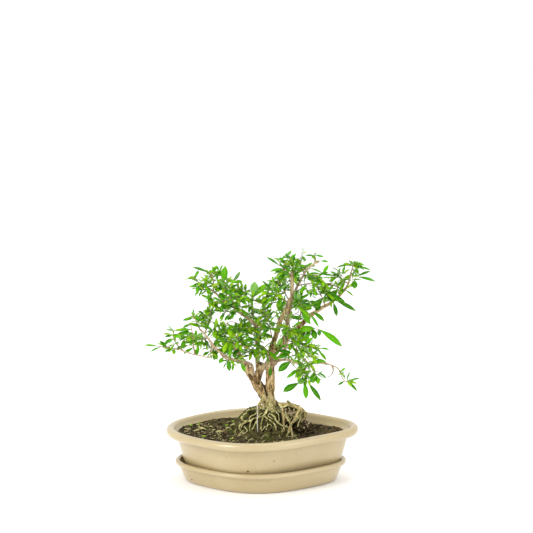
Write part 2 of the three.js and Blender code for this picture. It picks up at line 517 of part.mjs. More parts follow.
    leaves: [[268, 351, 2, 278.2, 360.4, -4, 4.4], [265.6, 349.6, 1, 262.6, 358.4, -4, 3.4]],
  },
  bole_front: {
    twigs: [[[272, 357, 12.4], [275, 353, 4], [279, 351, -2]], [[275, 353, 4], [273, 358.4, 0], [270.6, 366, 3]]],
    tips: [[281, 346, -2]],
    fill: [[276, 346, -4]],
    leaves: [[276.6, 350, 2, 291.9, 353.2, -6, 4.2], [290.6, 352.8, -2, 278.4, 357.4, -11, 5.4],
      [270.6, 366.4, 3, 270.2, 376.6, 2, 3.6]],
  },
  thread: {
    twigs: [[[273.6, 342.4, 11.2], [271.4, 335, 6], [270.2, 328, 2], [269, 321, 0], [265, 315.2, -2], [259.4, 309.6, -4]]],
    tips: [[259.4, 309.4, -4], [262.6, 305, 0], [266, 323.6, -6], [273.4, 322, -2], [263, 317, -8], [272, 312, -4],
      [276, 328, -4]],
    fill: [[265.6, 309.6, -6], [259.6, 316.6, -2], [268, 330, -6], [268.6, 314, 4], [275, 317, -8]],
    leaves: [[270.2, 328.6, 2, 262, 326, -4, 3.6]],
  },
  fork_left: {
    twigs: [[[288.6, 302.6, 4], [284.4, 300, 0], [280, 297, -4], [274, 292.6, -8], [269, 288.4, -10]]],
    tips: [[269, 288.2, -10], [273.6, 290, -14], [266, 294, -8], [271.6, 300, -8], [277, 302, -6], [281, 296, -10]],
    fill: [[277.6, 289.6, -6], [282, 303, -2], [265.6, 298.6, -4], [274.6, 296.6, -14], [268, 303, -10]],
    leaves: [[270.4, 289, -10, 262, 280.4, -12, 2.2], [275, 299, -7, 263.6, 302.6, -10, 3.6]],
  },
  fork_peak: {
    twigs: [[[289.4, 300.8, 4], [286.6, 296, 8], [283.4, 289.6, 11], [280, 284, 13], [278.6, 280, 13]]],
    tips: [[278.6, 279.6, 13], [284, 284.6, 16], [275.6, 285, 10], [281, 291.6, 8]],
    fill: [[273.4, 282.6, 14], [279, 288, 18], [287, 290, 14]],
    leaves: [[277.6, 281.4, 13, 266.4, 279.6, 10, 1.8]],
  },
  top_left: {
    twigs: [[[291.6, 277, 0.6], [287, 270.4, -5], [283, 267, -7], [279, 265.4, -8]]],
    tips: [[284.6, 262.6, -8], [286.4, 274.6, -8], [281, 270.6, -4]],
    fill: [[288, 266, -8], [283.6, 272, -10], [279.6, 262.4, -4]],
    leaves: [[279, 265.3, -8, 267.3, 256.8, -10, 2.6], [283.8, 268.8, -7, 270.6, 269.5, -10, 3.4],
      [285.4, 260.4, -8, 273.6, 258.2, -12, 1.8], [285, 271.6, -6, 277.4, 279.2, -10, 2.8],
      [286.6, 273, -6, 280.2, 280, -8, 2.4]],
  },
  top_middle: {
    twigs: [[[291.9, 272.6, 0], [292.2, 266, 4], [290.4, 260.4, 5]]],
    tips: [[293, 260.6, 4], [297, 264.4, 8], [287.4, 257.6, 6], [296.4, 272, -6]],
    fill: [[290, 264.6, -2], [299.6, 269.4, 6], [294.6, 268, -4], [294, 277, -8]],
    leaves: [[286.6, 256, 6, 291.4, 250.6, 8, 3.2], [290, 260, 5, 295.6, 253.3, 4, 2.4]],
  },
  top_tip: {
    twigs: [[[304.2, 274, 10.6], [301.4, 266.6, 12], [299.8, 260, 12], [302.6, 253.6, 11]]],
    tips: [[302.8, 253, 11], [301, 261.4, 8], [307.4, 265, 14], [304, 268.6, 16]],
    fill: [[298.6, 264.6, 16], [305.6, 261, 16], [300.6, 271, 14]],
    leaves: [[306, 267, 12, 312.6, 262.6, 14, 2.2]],
  },
  top_rosette: {
    twigs: [[[314.6, 263.6, 7], [315, 259, 6], [314.8, 255.6, 5]]],
    tips: [[314.8, 255.4, 5], [319.6, 260.6, 8]],
    fill: [[315, 255, 4]],
    leaves: [[314.8, 255.6, 5, 306.4, 254.6, 0, 2], [315.2, 255, 5, 323.6, 256.2, 2, 2.6],
      [321, 261, 6, 327.2, 260.8, 2, 2.6], [315, 255.4, 5, 312, 258.4, -1, 3.6]],
  },
  arch_right: {
    twigs: [[[303, 276, 11], [309, 274.4, 4], [315, 275.4, -2], [322, 274.4, -6]]],
    tips: [[311, 280, -2], [317.6, 278, -8], [322.4, 282, -6]],
    fill: [[307, 278.6, 2], [314.6, 281.6, -8], [319.6, 285, -4]],
    leaves: [[322, 274.2, -6, 333.8, 275.8, -10, 2.6], [322.8, 273.8, -6, 327.6, 265.6, -8, 3.8],
      [307.6, 273.8, 5, 319, 272.6, -2, 2.8], [308.4, 275.4, 4, 321.4, 281, -4, 6.6],
      [310, 268, 9, 322, 272.6, 6, 1.8]],
  },
  right_inner: {
    twigs: [[[297.6, 285.6, 12.6], [303, 284.6, 6], [308, 283.6, 2], [313, 282.8, -2]]],
    tips: [[312.6, 286.6, -6], [304, 279.6, 4], [306.6, 289, -2], [316, 291.6, -6], [300.4, 291, 2]],
    fill: [[310.6, 280, 0], [303.6, 286, -4], [311.6, 293, -2], [298, 280.6, 4]],
    leaves: [[306, 284.6, 4, 301.6, 291.6, 0, 3]],
  },
  right_upper: {
    twigs: [[[345.4, 289.4, 34], [344.6, 289.4, 30], [340, 288.2, 28], [334, 285.6, 25], [327.6, 283, 22]]],
    tips: [[327, 283, 22], [330, 288, 26], [335, 286, 20], [340.4, 283.6, 26], [323.6, 286.6, 18]],
    fill: [[332, 282.6, 28], [337, 290, 24], [326, 288, 26]],
    leaves: [[337.6, 290, 29, 329.6, 294, 26, 3.6], [344, 289.6, 29, 338.4, 293.6, 24, 5],
      [345, 289.6, 29, 354, 295.4, 27, 2]],
  },
  right_crown: {
    twigs: [[[348.6, 283.4, 32.4], [344, 281, 30], [341, 278, 29], [338, 275.6, 28]]],
    tips: [[338, 275.4, 28], [343.6, 273, 28], [346.4, 277, 26], [342, 284, 32]],
    fill: [[340.4, 271.6, 24], [334.6, 277.6, 26], [345, 280, 22]],
    leaves: [[338, 274.6, 28, 340.4, 268, 26, 1.8], [337.6, 275, 28, 331.6, 271, 24, 2.6]],
  },
  right_tip: {
    twigs: [[[350.8, 274, 30], [352, 268.6, 27], [353, 265, 26]], [[352, 268.6, 27], [355, 272.6, 24], [358, 276.4, 22]]],
    tips: [[353, 264.6, 28], [356, 263.6, 24], [353.6, 272, 24], [352.6, 283.6, 26]],
    fill: [[350.4, 265, 26], [356, 268, 26]],
    leaves: [[357, 266.6, 25, 370.4, 268.2, 22, 2], [350.6, 264.4, 27, 337, 265.6, 24, 2.4],
      [358, 275.6, 24, 370.6, 271.4, 22, 3.2], [358.4, 276.8, 24, 375.2, 279.6, 20, 3.6],
      [354.4, 280, 24, 354.8, 288.4, 20, 6.4]],
  },
  right_fan: {
    twigs: [[[335, 299.6, 37], [332, 297.4, 28], [328.6, 293.6, 20], [327, 291, 16]]],
    tips: [[327.6, 296.4, 14], [332, 300.4, 20], [325.4, 291.6, 20]],
    fill: [[324.6, 295.6, 12], [330, 291, 24]],
    leaves: [[327.4, 291.4, 16, 339.4, 301.8, 8, 7.6], [332.4, 295, 24, 345.6, 302.4, 16, 5.2],
      [337.6, 301.2, 28, 355.8, 309, 22, 5], [333.6, 302.8, 30, 337.2, 315.8, 26, 4.4],
      [328.4, 296, 18, 333.6, 300.4, 10, 6]],
  },
  right_fork: {
    twigs: [[[325, 306, 38], [323, 299.4, 30], [319.5, 292, 22], [317.6, 287, 18]]],
    tips: [[317.6, 286.8, 18], [314.6, 302.6, 24], [320.4, 296, 20], [313.6, 296.4, 24]],
    fill: [[323, 290, 26], [317, 299, 30], [315.6, 292, 22]],
    leaves: [[322, 299, 28, 313.6, 308, 18, 7.4], [320, 303, 32, 316.6, 309.6, 24, 5.6]],
  },
  right_middle: {
    twigs: [[[297, 328.8, 28.6], [298.6, 321, 16], [300.6, 313, 6], [300, 306, 0], [297.6, 300, -4]]],
    tips: [[297.4, 299.6, -4], [304, 303, 2], [293.6, 304, -2], [304.4, 310.4, 0], [308.6, 305.4, 8], [301, 296.6, 6]],
    fill: [[300.4, 301.6, -8], [295.6, 309.6, -4], [307, 298.6, 0], [303.6, 306.6, 12], [311.6, 302, 14]],
    leaves: [[294, 303.2, -3, 311.4, 317.2, -10, 3.4], [301.6, 311.6, 4, 309.8, 322.2, -6, 5.6],
      [299.6, 320, 13, 289.6, 315.6, 4, 4], [310, 313.6, 4, 318.8, 326.6, -4, 2.8], [313, 312, 12, 324.6, 319.4, 8, 4.4]],
  },
  droop: {
    twigs: [[[300.4, 325.5, 30.2], [306, 326.6, 18], [312, 328.2, 8], [319.6, 329.8, 2]]],
    tips: [[304, 330, 16], [309.6, 334.6, 6], [302, 335.4, 14]],
    fill: [[306.6, 332.4, 20], [313.6, 333, 12]],
    leaves: [[319.4, 329.6, 2, 342.3, 343.4, -6, 6.4], [312.4, 328.6, 8, 315.7, 339.4, 0, 6.4],
      [314.6, 328.2, 6, 300.8, 328.4, -4, 7], [318.6, 329.8, 2, 319.6, 334.6, -4, 4]],
  },
  low_middle: {
    twigs: [[[285.4, 338.8, 22], [291, 341.6, 10], [298, 343.6, 0], [306, 346.4, -8], [312, 347.6, -12]]],
    tips: [[312.4, 346, -12], [317, 348.6, -10], [300, 339.6, -6], [305.6, 351.6, -12], [297, 336, 8], [293, 347.4, -2]],
    fill: [[308.6, 342.6, -10], [301.6, 347.6, -12], [289.6, 343.4, 2], [312.4, 352.6, -14], [295.4, 341, -8]],
    leaves: [[320, 348, -10, 329, 349.2, -14, 2.2], [318.4, 350.6, -10, 326.4, 360, -14, 3.2],
      [305, 345.6, -8, 311.6, 337.4, -14, 4]],
  },
  middle: {
    twigs: [[[286.3, 328, 17.6], [289, 322, 8], [292.6, 318, 0]], [[289, 322, 8], [290, 327, 3], [292.6, 331, 0]]],
    tips: [[292.6, 317.6, 0], [286.6, 318.6, 0], [293.6, 326, -2], [288, 333.6, 0], [284, 328, 4]],
    fill: [[290, 325.6, -6], [295.6, 331.6, 2], [286, 323, 8], [282.4, 334.4, 0]],
    leaves: [[290, 331, 6, 300.6, 335.6, -2, 4.4]],
  },
  low_cluster: {
    twigs: [[[300, 365, -20.6], [305, 359, -26], [309.6, 354.6, -30]],
      [[305, 359, -26], [309, 364.6, -32], [313, 370, -34], [315.6, 374.6, -36]]],
    tips: [[309.6, 354.4, -30], [303, 356.4, -24], [314.6, 358, -28], [307, 364.6, -32], [299.6, 371, -28],
      [303, 375.4, -20], [315.8, 374.4, -37]],
    fill: [[298.6, 358.6, -18], [310.6, 361.4, -36], [311.6, 366, -26], [301, 367, -30], [315, 379, -30]],
    leaves: [[311.6, 361.4, -30, 322.8, 361.2, -36, 4.4], [316.6, 358.4, -28, 327.2, 364.6, -34, 4.4],
      [297.6, 360.6, -20, 303.8, 368.2, -26, 5], [313.6, 372.6, -34, 313, 382.8, -42, 7.6],
      [316.6, 375.6, -36, 318.6, 384.4, -42, 4.4], [318, 372, -34, 327, 377.4, -36, 2.2]],
  },
  low_inner: {
    twigs: [[[288.7, 360.2, -9.4], [290.8, 362.8, -16], [295, 367, -25], [299, 371.6, -31]]],
    tips: [[299, 371.6, -31]],
    fill: [[292, 366, -24]],
    leaves: [[290.6, 361.4, -14, 278, 370.2, -18, 7.6], [298, 370.8, -29, 286.4, 376.9, -32, 3.6]],
  },
  low_fan: {
    twigs: [[[306.2, 374.4, -26], [306.6, 378, -27], [305.6, 381.4, -28]]],
    tips: [[301.4, 374, -32]],
    fill: [[309, 378, -34]],
    leaves: [[306, 377.4, -26, 297.4, 384.6, -32, 6.2], [298.4, 383, -30, 283.4, 391.8, -34, 7.2],
      [304.6, 382.6, -28, 306.3, 398.6, -33, 5.6], [308, 382.8, -28, 321.6, 399.6, -33, 4.6]],
  },
  low_reach: {
    twigs: [[[304.4, 370.2, -24.6], [308, 365.6, -27], [315, 363.2, -31], [326.6, 363.6, -37], [332, 365.4, -39],
      [338.5, 369, -41], [340.7, 374.5, -42], [344.6, 381, -43], [348, 381.4, -44]],
    [[332, 365.4, -39], [333.2, 370, -38], [331, 375.4, -37], [327.7, 376.7, -36]]],
    tips: [[340.8, 372.6, -43], [348, 381, -44]],
    fill: [[341.6, 374, -40], [349, 382, -42]],
    leaves: [[349.6, 380.4, -44, 359.4, 378.2, -48, 2], [349, 382, -44, 357.2, 390.8, -46, 2.8],
      [344.4, 381.4, -43, 338.2, 384.2, -46, 2.6], [340.8, 372.2, -43, 344.2, 367.8, -46, 2.4]],
  },
  back_high: {
    twigs: [[[291.9, 284, 1.4], [293, 280, 16], [291, 276, 28], [286, 274, 36]]],
    tips: [[286, 274, 36], [292, 271, 34], [297, 276.6, 28], [285, 281, 32], [291, 283.6, 38], [281.6, 276, 26]],
    fill: [[289, 278, 24], [295, 283, 24], [283, 287, 26]],
    leaves: [],
  },
  back_middle: {
    twigs: [[[286.8, 326, 55.8], [284, 316, 60], [281, 307, 62]], [[285.2, 320.4, 58.4], [291, 316, 60], [299, 312, 60]]],
    tips: [[281, 307, 62], [276, 314, 62], [287, 311, 66], [299, 312, 60], [294, 320.6, 66], [281.4, 322, 66], [290, 304, 56]],
    fill: [[275, 320, 56], [285.6, 304, 54], [296.6, 306.6, 52], [288.6, 318, 70]],
    leaves: [],
  },
  back_low: {
    twigs: [[[287.8, 336, 52], [294, 338, 58], [301, 341, 62]], [[294, 338, 58], [296, 346, 58], [299, 355, 56]]],
    tips: [[301, 341, 62], [296, 334.6, 66], [305, 347, 58], [297, 355, 56], [303, 358.6, 50], [291, 346, 60], [288, 357, 44]],
    fill: [[299, 349, 64], [294, 342, 50], [308, 352, 46]],
    leaves: [],
  },
  back_left: {
    twigs: [[[228.6, 332, 51.4], [223, 327, 54], [217, 324.6, 54]], [[223, 327, 54], [229, 322, 59], [237, 323, 61], [243, 327, 60]]],
    tips: [[217, 324.6, 54], [222, 333, 60], [228.6, 324, 58], [212, 331, 48], [243, 327, 58], [236.6, 325.6, 62],
      [241, 335, 60]],
    fill: [[232, 330.6, 44], [219, 338, 50], [247, 332, 54]],
    leaves: [],
  },
  back_saddle: {
    twigs: [[[258, 341, 14], [260, 334, 26], [260, 326, 38], [257, 319, 46]]],
    tips: [[257, 319, 46], [263, 322, 48], [251.6, 324.6, 44], [264.6, 331, 40], [254.6, 333, 42], [261, 312, 42]],
    fill: [[258, 327, 52], [249.6, 318, 40], [266.6, 316, 38]],
    leaves: [],
  },
};

// A spray is made of thin fronds: a strip along each twig, with arms that carry the leaves.
// A frond is drawn flat on a grid, and each corner of the drawing has its own place in space.
const UP = new THREE.Vector3(0, 0, 1);
const SLOT = 1.5;
const STEM = { width: 1.3, thickness: 1.2 };
const STALK = 0.4;
const ARCH = 0.16;
const STATION = 7;
const SHOOT_SHARE = 2;
const BACK = 35;
const GRID = 200;
const WAVE = 15;
const NECK = 12;

function corner(x, y, at, face, thickness = LEAF_THICKNESS) {
  return { x, y, at, up: face.clone().multiplyScalar(thickness / 2) };
}

function plate(corners) {
  const shape = new THREE.Shape(corners.map(({ x, y }) => new THREE.Vector2(x, y)));
  const geometry = new THREE.ExtrudeGeometry(shape, { depth: 1, steps: 1, bevelEnabled: false });
  const places = new Map(corners.map((one) => [`${one.x},${one.y}`, one]));
  return toSolid(moved(geometry, ({ x, y, z }) => {
    const { at, up } = places.get(`${x},${y}`);
    return at.clone().addScaledVector(up, 2 * z - 1);
  }));
}

// A twig: its places in slots, each with the way it runs, its side, its face and its tapering size
function twigOn(course, order) {
  const curve = new THREE.CatmullRomCurve3(course.map(seen), false, 'centripetal');
  const count = Math.max(3, Math.round(curve.getLength() / SLOT));
  let face = new THREE.Vector3(0, -0.8, 1);
  const slots = Array.from({ length: count + 1 }, (_, i) => {
    const along = curve.getTangentAt(i / count);
    face = face.clone().addScaledVector(along, -face.dot(along)).normalize();
    const slim = (1 - 0.12 * order) * (1 - 0.25 * i / count);
    return { i, at: curve.getPointAt(i / count), along, face, side: face.clone().cross(along),
      half: slim * STEM.width / 2, thickness: slim * STEM.thickness };
  });
  return { slots, arms: new Map() };
}

// The slot an arm grows from: on the nearest twig, back along it by a share of the reach, and free on the side of its aim
function slotFor(twigs, tip, share, aim = tip) {
  const far = ({ at }) => at.distanceTo(tip);
  const near = twigs.map((twig) => ({ twig, slot: twig.slots.reduce((a, b) => (far(b) < far(a) ? b : a)) }))
    .reduce((a, b) => (far(b.slot) < far(a.slot) ? b : a));
  const { twig, slot } = near;
  const last = twig.slots.length - 1;
  if (slot.i === last && far(slot) < SLOT && !twig.arms.has('end')) return { twig, slot, key: 'end', hand: 1 };
  const wished = Math.round(slot.i - share * far(slot) / SLOT);
  const hand = aim.clone().sub(twig.slots[Math.max(0, wished)].at).dot(slot.side) < 0 ? -1 : 1;
  const free = twig.slots.slice(2, -1).filter(({ i }) => !twig.arms.has(`${i},${hand}`))
    .sort((a, b) => Math.abs(a.i - wished) - Math.abs(b.i - wished))[0];
  return free && { twig, slot: free, key: `${free.i},${hand}`, hand };
}

// The frame of an arm: across is the way that its drawing's first axis runs in space
function armFrame({ slot, key, hand }, axis, facing) {
  const droop = facing.clone().addScaledVector(axis, -facing.dot(axis)).normalize();
  const face = droop.clone();
  const across = axis.clone().cross(face).multiplyScalar(hand);
  const wide = key === 'end' ? slot.side.clone().negate() : slot.along;
  if (across.dot(wide) + face.dot(slot.face) < 0) {
    across.negate();
    face.negate();
  }
  return { axis, across, face, droop: droop.negate() };
}

// Where an arm's strip leaves the twig
function roots({ slot, key, hand }) {
  const spread = key === 'end' ? slot.side.clone().multiplyScalar(-slot.half) : slot.along.clone().multiplyScalar(0.5);
  const edge = key === 'end' ? slot.at : slot.at.clone().addScaledVector(slot.side, hand * slot.half);
  return [-1, 1].map((end) => corner(NECK * end, 0, edge.clone().addScaledVector(spread, end), slot.face, slot.thickness));
}

// An opposite pair of leaves at the tip of a shoot, with one more leaf between them at a twig's end
function shootArm(place, tip, { open, length, facing }, turn) {
  const atEnd = place.key === 'end';
  const axis = atEnd ? place.slot.along : tip.clone().sub(place.slot.at).normalize();
  const { across, face, droop } = armFrame(place, axis, facing.clone().applyAxisAngle(axis, turn));
  const spot = (x, y, forward, out, share = 0) => corner(x, y, tip.clone().addScaledVector(axis, forward)
    .addScaledVector(across, out).addScaledVector(droop, ARCH * length * share * share), face);
  const leaf = (end, outline) => outline.map(([x, y, share, half]) => {
    const half2 = half * length * 0.18;
    const forward = share * length * Math.cos(open) + half2 * Math.sin(open);
    return spot(end * x, y, forward, end * (share * length * Math.sin(open) - half2 * Math.cos(open)), share);
  });
  const middle = [spot(-15, 55, 0.4 * length, -0.14 * length, 0.5), spot(0, 70, 0.85 * length, 0, 1),
    spot(15, 55, 0.4 * length, 0.14 * length, 0.5)];
  const crotch = atEnd ? [spot(-15, 41, STALK, -STALK), ...middle, spot(15, 41, STALK, STALK)]
    : [spot(0, 41, 1.4 * STALK, 0)];
  const below = atEnd ? [] : [spot(-10, 30, -STALK, -STALK)];
  const above = atEnd ? [] : [spot(10, 30, -STALK, STALK)];
  const [first, last] = roots(place);
  return [first, ...below, ...leaf(-1, [[45, 36, 0.5, -1], [60, 50, 1, 0], [35, 45, 0.5, 1]]), ...crotch,
    ...leaf(1, [[35, 45, 0.5, 1], [60, 50, 1, 0], [45, 36, 0.5, -1]]), ...above, last];
}

// A large leaf; where its foot is off the twig, a stalk leads to it
const STALKED = 3;
function leafArm(place, foot, point, width, turn) {
  const reach = foot.distanceTo(place.slot.at);
  const base = reach > STALKED ? foot : place.slot.at;
  const length = point.distanceTo(base);
  const axis = point.clone().sub(base).normalize().applyAxisAngle(UP, turn / 3);
  const { across, face, droop } = armFrame(place, axis, new THREE.Vector3(0, -1.2, 1));
  const spot = (x, y, share, out) => corner(x, y, base.clone().addScaledVector(axis, share * length)
    .addScaledVector(across, out).addScaledVector(droop, ARCH * length * share * share), face);
  const half = width / 2;
  const edge = width < 3.4 ? [[50, 50, 0.48, half]] : [[50, 40, 0.32, 0.86 * half], [50, 60, 0.68, 0.78 * half]];
  const [first, last] = roots(place);
  const [start, end] = reach > STALKED ? [[spot(30, 14, 0, -STALK)], [spot(36, 14, 0, STALK)]] : [[], []];
  return [first, ...start, ...edge.map(([x, y, share, out]) => spot(-x, y, share, -out)), spot(0, 80, 1, 0),
    ...edge.toReversed().map(([x, y, share, out]) => spot(x, y, share, out)), ...end, last];
}

const boxed = (solid) => ({ solid, box: solid.boundingBox() });

// An arm is drawn upward; on a twig's right side its drawing points down
const mirrored = (arm, hand) => arm.map((one) => ({ ...one, y: hand * one.y }));

// A leaf that lies along its twig is a solid of its own, with its root sunk in the twig
function sunkLeaf(place, arm) {
  const [low, high] = [arm[1], arm.at(-2)];
  const across = high.at.clone().sub(low.at).normalize();
  const root = (end) => ({ ...arm[0], x: NECK * end, at: place.slot.at.clone().addScaledVector(across, end * STALK), up: low.up });
  return plate(mirrored([root(-1), ...arm.slice(1, -1), root(1)], place.hand));
}

// An arm without its root, to test what it meets
function freePart(arm, hand) {
  const ends = arm.slice(1, -1);
  const pulled = (from, to) => ({ ...from, at: from.at.clone().lerp(to.at, 0.35) });
  return boxed(plate(mirrored([pulled(arm[0], ends[0]), ...ends, pulled(arm.at(-1), ends.at(-1))], hand)));
}

function boxesMeet(a, b) {
  return [0, 1, 2].every((i) => a.min[i] - GAP < b.max[i] && b.min[i] - GAP < a.max[i]);
}

function clear({ solid, box }, others, gap) {
  return others.every((other) => !boxesMeet(box, other.box) || solid.minGap(other.solid, 2 * GAP) >= gap);
}

// The frond's drawing: out along the twig's right edge, round its end and back along its left edge.
// It winds from node to node, so that its triangles only join neighbours and follow the twig's bends.
function frond({ slots, arms }, withArms = true) {
  const last = slots.length - 1;
  const armOf = (slot, hand) => withArms && arms.get(`${slot.i},${hand}`);
  const nodes = [];
  slots.slice(0, -1).forEach((slot) => {
    const due = slot.i - (nodes.at(-1)?.i ?? -STATION) >= STATION && last - slot.i > 1;
    if (due || armOf(slot, -1) || armOf(slot, 1)) nodes.push(slot);
  });
  const wave = (k) => (k % 2 ? WAVE : -WAVE);
  const edge = (slot, k, hand) => {
    const arm = armOf(slot, hand);
    if (arm) {
      const drawn = arm.map((one) => ({ ...one, x: GRID * slot.i + one.x, y: wave(k) + hand * (10 + one.y) }));
      return hand < 0 ? drawn : drawn.toReversed();
    }
    const at = slot.at.clone().addScaledVector(slot.side, hand * slot.half);
    return [corner(GRID * slot.i, wave(k) + 10 * hand, at, slot.face, slot.thickness)];
  };
  const end = withArms && arms.get('end');
  const level = wave(nodes.length);
  const tip = end ? end.map((one) => ({ ...one, x: GRID * last + one.y, y: level - one.x })).toReversed()
    : [-1, 1].flatMap((hand) => edge(slots[last], nodes.length, hand));
  const [right, left] = [-1, 1].map((hand) => nodes.map((slot, k) => edge(slot, k, hand)));
  return plate([...right.flat(), ...tip, ...left.toReversed().flat()]);
}

// Arms that meet something are tried at other turns, and left out when none is clear
const TURNS = [0, 0.5, -0.5, 1, -1, 1.5, -1.5];

function growSprays(keepOut, wood) {
  const names = Object.keys(SPRAYS);
  const sprays = names.map((name) => SPRAYS[name].twigs.map(twigOn));
  const stems = sprays.map((twigs) => twigs.map((twig) => boxed(frond(twig, false))));
  const fixed = keepOut.map(boxed);
  const arms = names.map(() => []);
  const sunk = names.map(() => []);
  const left = [];
  const attach = (i, place, make, always) => {
    const others = [...fixed, ...names.flatMap((_, j) => (j === i ? [] : [...stems[j], ...arms[j]]))];
    const mine = [...stems[i], ...arms[i]];
    const tried = TURNS.map(make).filter((one) => clear(freePart(one, place.hand), others, GAP));
    const arm = tried.find((one) => clear(freePart(one, place.hand), mine, 0.1));
    if (!arm && !(always && tried.length)) return left.push(names[i]);
    arms[i].push(freePart(arm ?? tried[0], place.hand));
    if (arm) return place.twig.arms.set(place.key, arm);
    return sunk[i].push(sunkLeaf(place, tried[0]));
  };
  names.forEach((name, i) => SPRAYS[name].leaves.forEach(([x0, y0, back0, x1, y1, back1, width]) => {
    const [foot, point] = [seen([x0, y0, back0]), seen([x1, y1, back1])];
    const place = slotFor(sprays[i], foot, 0.2, point);
    attach(i, place, (turn) => leafArm(place, foot, point, width, turn), true);
  }));
  names.forEach((name, i) => {
    const draw = draws(101 + 7 * i);
    SPRAYS[name].tips.map(seen).forEach((tip, k) => {
      const form = { open: draw(0.85, 1.2), length: draw(8.5, 12),
        facing: new THREE.Vector3(draw(-0.6, 0.6), (tip.y < BACK ? -0.8 : 0.8) + draw(-0.4, 0.4), 1) };
      if (k % SHOOT_SHARE) return;
      const place = slotFor(sprays[i], tip, 0.4);
      if (place) attach(i, place, (turn) => shootArm(place, tip, form, turn), false);
    });
  });
  if (left.length) console.error('arms left out:', left.length, left.join(' '));
  return names.map((name, i) => {
    const whole = join([...sprays[i].map((twig) => frond(twig)), ...sunk[i]]);
    return [`spray_${name}`, largest(whole.subtract(wood))];
  });
}

// The bonsai
const bonsai = new THREE.Group();

function add(name, solid, colour, roughness = 0.6, metalness = 0) {
  const mesh = new THREE.Mesh(toGeometry(solid), new THREE.MeshStandardMaterial({ color: colour, roughness, metalness }));
  mesh.name = name;
  bonsai.add(mesh);
}

const trunk = woodSolids(0);
const trunkRoom = woodSolids(GAP);
const wire = rod(wireCourse(), [WIRE.radius, WIRE.radius], 6, 6);
const wireRoom = rod(wireCourse(), [WIRE.radius, WIRE.radius], 6, 6, GAP);
const pot = makePot();
const soil = makeSoil(join([trunkRoom, wireRoom]));

add('saucer', makeSaucer(), COLOURS.glaze, 0.3);
add('pot', pot, COLOURS.glaze, 0.3);
add('drain_screen_left', makeScreen(-1), COLOURS.mesh);
add('drain_screen_right', makeScreen(1), COLOURS.mesh);
add('soil', soil, COLOURS.soil, 0.95);
add('trunk', largest(trunk), COLOURS.bark, 0.85);
add('tie_wire', largest(wire.subtract(trunkRoom)), COLOURS.wire, 0.4, 0.6);
growSprays([pot, soil], trunkRoom).forEach(([name, solid], i) => {
  add(name, solid, i % 2 ? COLOURS.fresh : COLOURS.deep, 0.5);
});

export default bonsai;
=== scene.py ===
# A serissa bonsai in a cream glazed pot on its saucer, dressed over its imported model
import math
import random

import bmesh
import bpy
from mathutils import Matrix, Vector, noise
from mathutils.kdtree import KDTree


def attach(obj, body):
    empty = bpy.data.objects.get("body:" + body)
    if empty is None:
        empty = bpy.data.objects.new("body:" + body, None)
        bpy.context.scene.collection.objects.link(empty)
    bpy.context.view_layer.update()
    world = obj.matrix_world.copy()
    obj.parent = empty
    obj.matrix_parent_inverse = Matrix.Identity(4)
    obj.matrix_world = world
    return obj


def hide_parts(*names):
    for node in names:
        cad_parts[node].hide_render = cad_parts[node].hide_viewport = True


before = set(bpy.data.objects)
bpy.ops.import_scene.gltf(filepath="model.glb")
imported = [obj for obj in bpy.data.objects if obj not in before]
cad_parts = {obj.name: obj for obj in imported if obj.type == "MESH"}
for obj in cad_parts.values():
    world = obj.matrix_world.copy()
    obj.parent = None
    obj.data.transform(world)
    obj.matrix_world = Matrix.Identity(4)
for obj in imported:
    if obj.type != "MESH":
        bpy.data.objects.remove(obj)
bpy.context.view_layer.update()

bl_info = {
    "name": "Serissa Bonsai",
    "version": (1, 0, 0),
    "blender": (4, 5, 0),
    "location": "View3D > Sidebar > Bonsai",
    "description": "Makes a potted serissa bonsai with its leaves, roots, soil, glazed pot and saucer",
    "category": "Add Mesh",
}

# Sizes are in millimetres until a piece is finished, when it is scaled to metres
MM = 0.001
POT_WIDTH = 200
LIP_RADIUS = 4.6
LIP_HEIGHT = 53.6
SAUCER_WIDTH = 178
SAUCER_LIP_RADIUS = 2.6
SAUCER_LIP_HEIGHT = 20.4
SAUCER_FLOOR = 4
FEET_HEIGHT = 2.7
GAP = 0.3
POT_FOOT = SAUCER_FLOOR + GAP + FEET_HEIGHT
POT_FLOOR = POT_FOOT + 6.5
SOIL_LEVEL = 46.8
SOIL_INSET = 8.8
BED_INSET = 11
DRAIN = {"radius": 8, "x": 36}
FOOT = {"x": 38, "y": 20, "radius": 8}
WIRE_RADIUS = 0.45
LEAF_LENGTH = 10.4

# Plan of the pot and of the saucer: an oval with four soft lobes, deeper at its left end
POT_PLAN = {
    "reach": (POT_WIDTH / 2 - LIP_RADIUS) / 1.045, "depth": 0.75, "lobes": 0.045, "ends": 0.013, "egg": 0.105,
    "turn": math.radians(-2.2), "shift": -1.6, "slope": math.tan(math.radians(0.8)),
}
SAUCER_PLAN = {
    "reach": (SAUCER_WIDTH / 2 - SAUCER_LIP_RADIUS) / 1.044, "depth": 0.72, "lobes": 0.044, "ends": 0,
    "egg": 0.063, "turn": math.radians(-1), "shift": -2, "slope": math.tan(math.radians(0.3)),
}
# How far inside the lip a dish's floor begins, and how fine the turned shapes are
FLOOR_INSET = 30
DISH_STEPS = 176
SOIL_STEPS = 260
SOIL_RINGS = 84

# The mossy mound that the tree grows on
MOUND = {"x": 2, "y": 16, "half_width": 45, "front": 26, "back": 32, "height": 25, "top": 0.28}
MOSSY = {"half_width": 52, "half_depth": 42}
# How far behind the pot's middle a sight line looks for soil: on the mound, for the chip, for a seedling
BOLE_FRONT = 3
CHIP_REACH = 30
SEEDLING_REACH = 36

# The soil's rise towards the pot's wall, more so to the left, and its rise on the right behind the tree
BANK = {"half_width": 92, "half_depth": 66, "start": 0.62, "fade": 0.3, "height": 3.4, "left": 0.022}
RIGHT_BANK = {"height": 3.2, "start": 14, "fade": 30, "behind": 20}

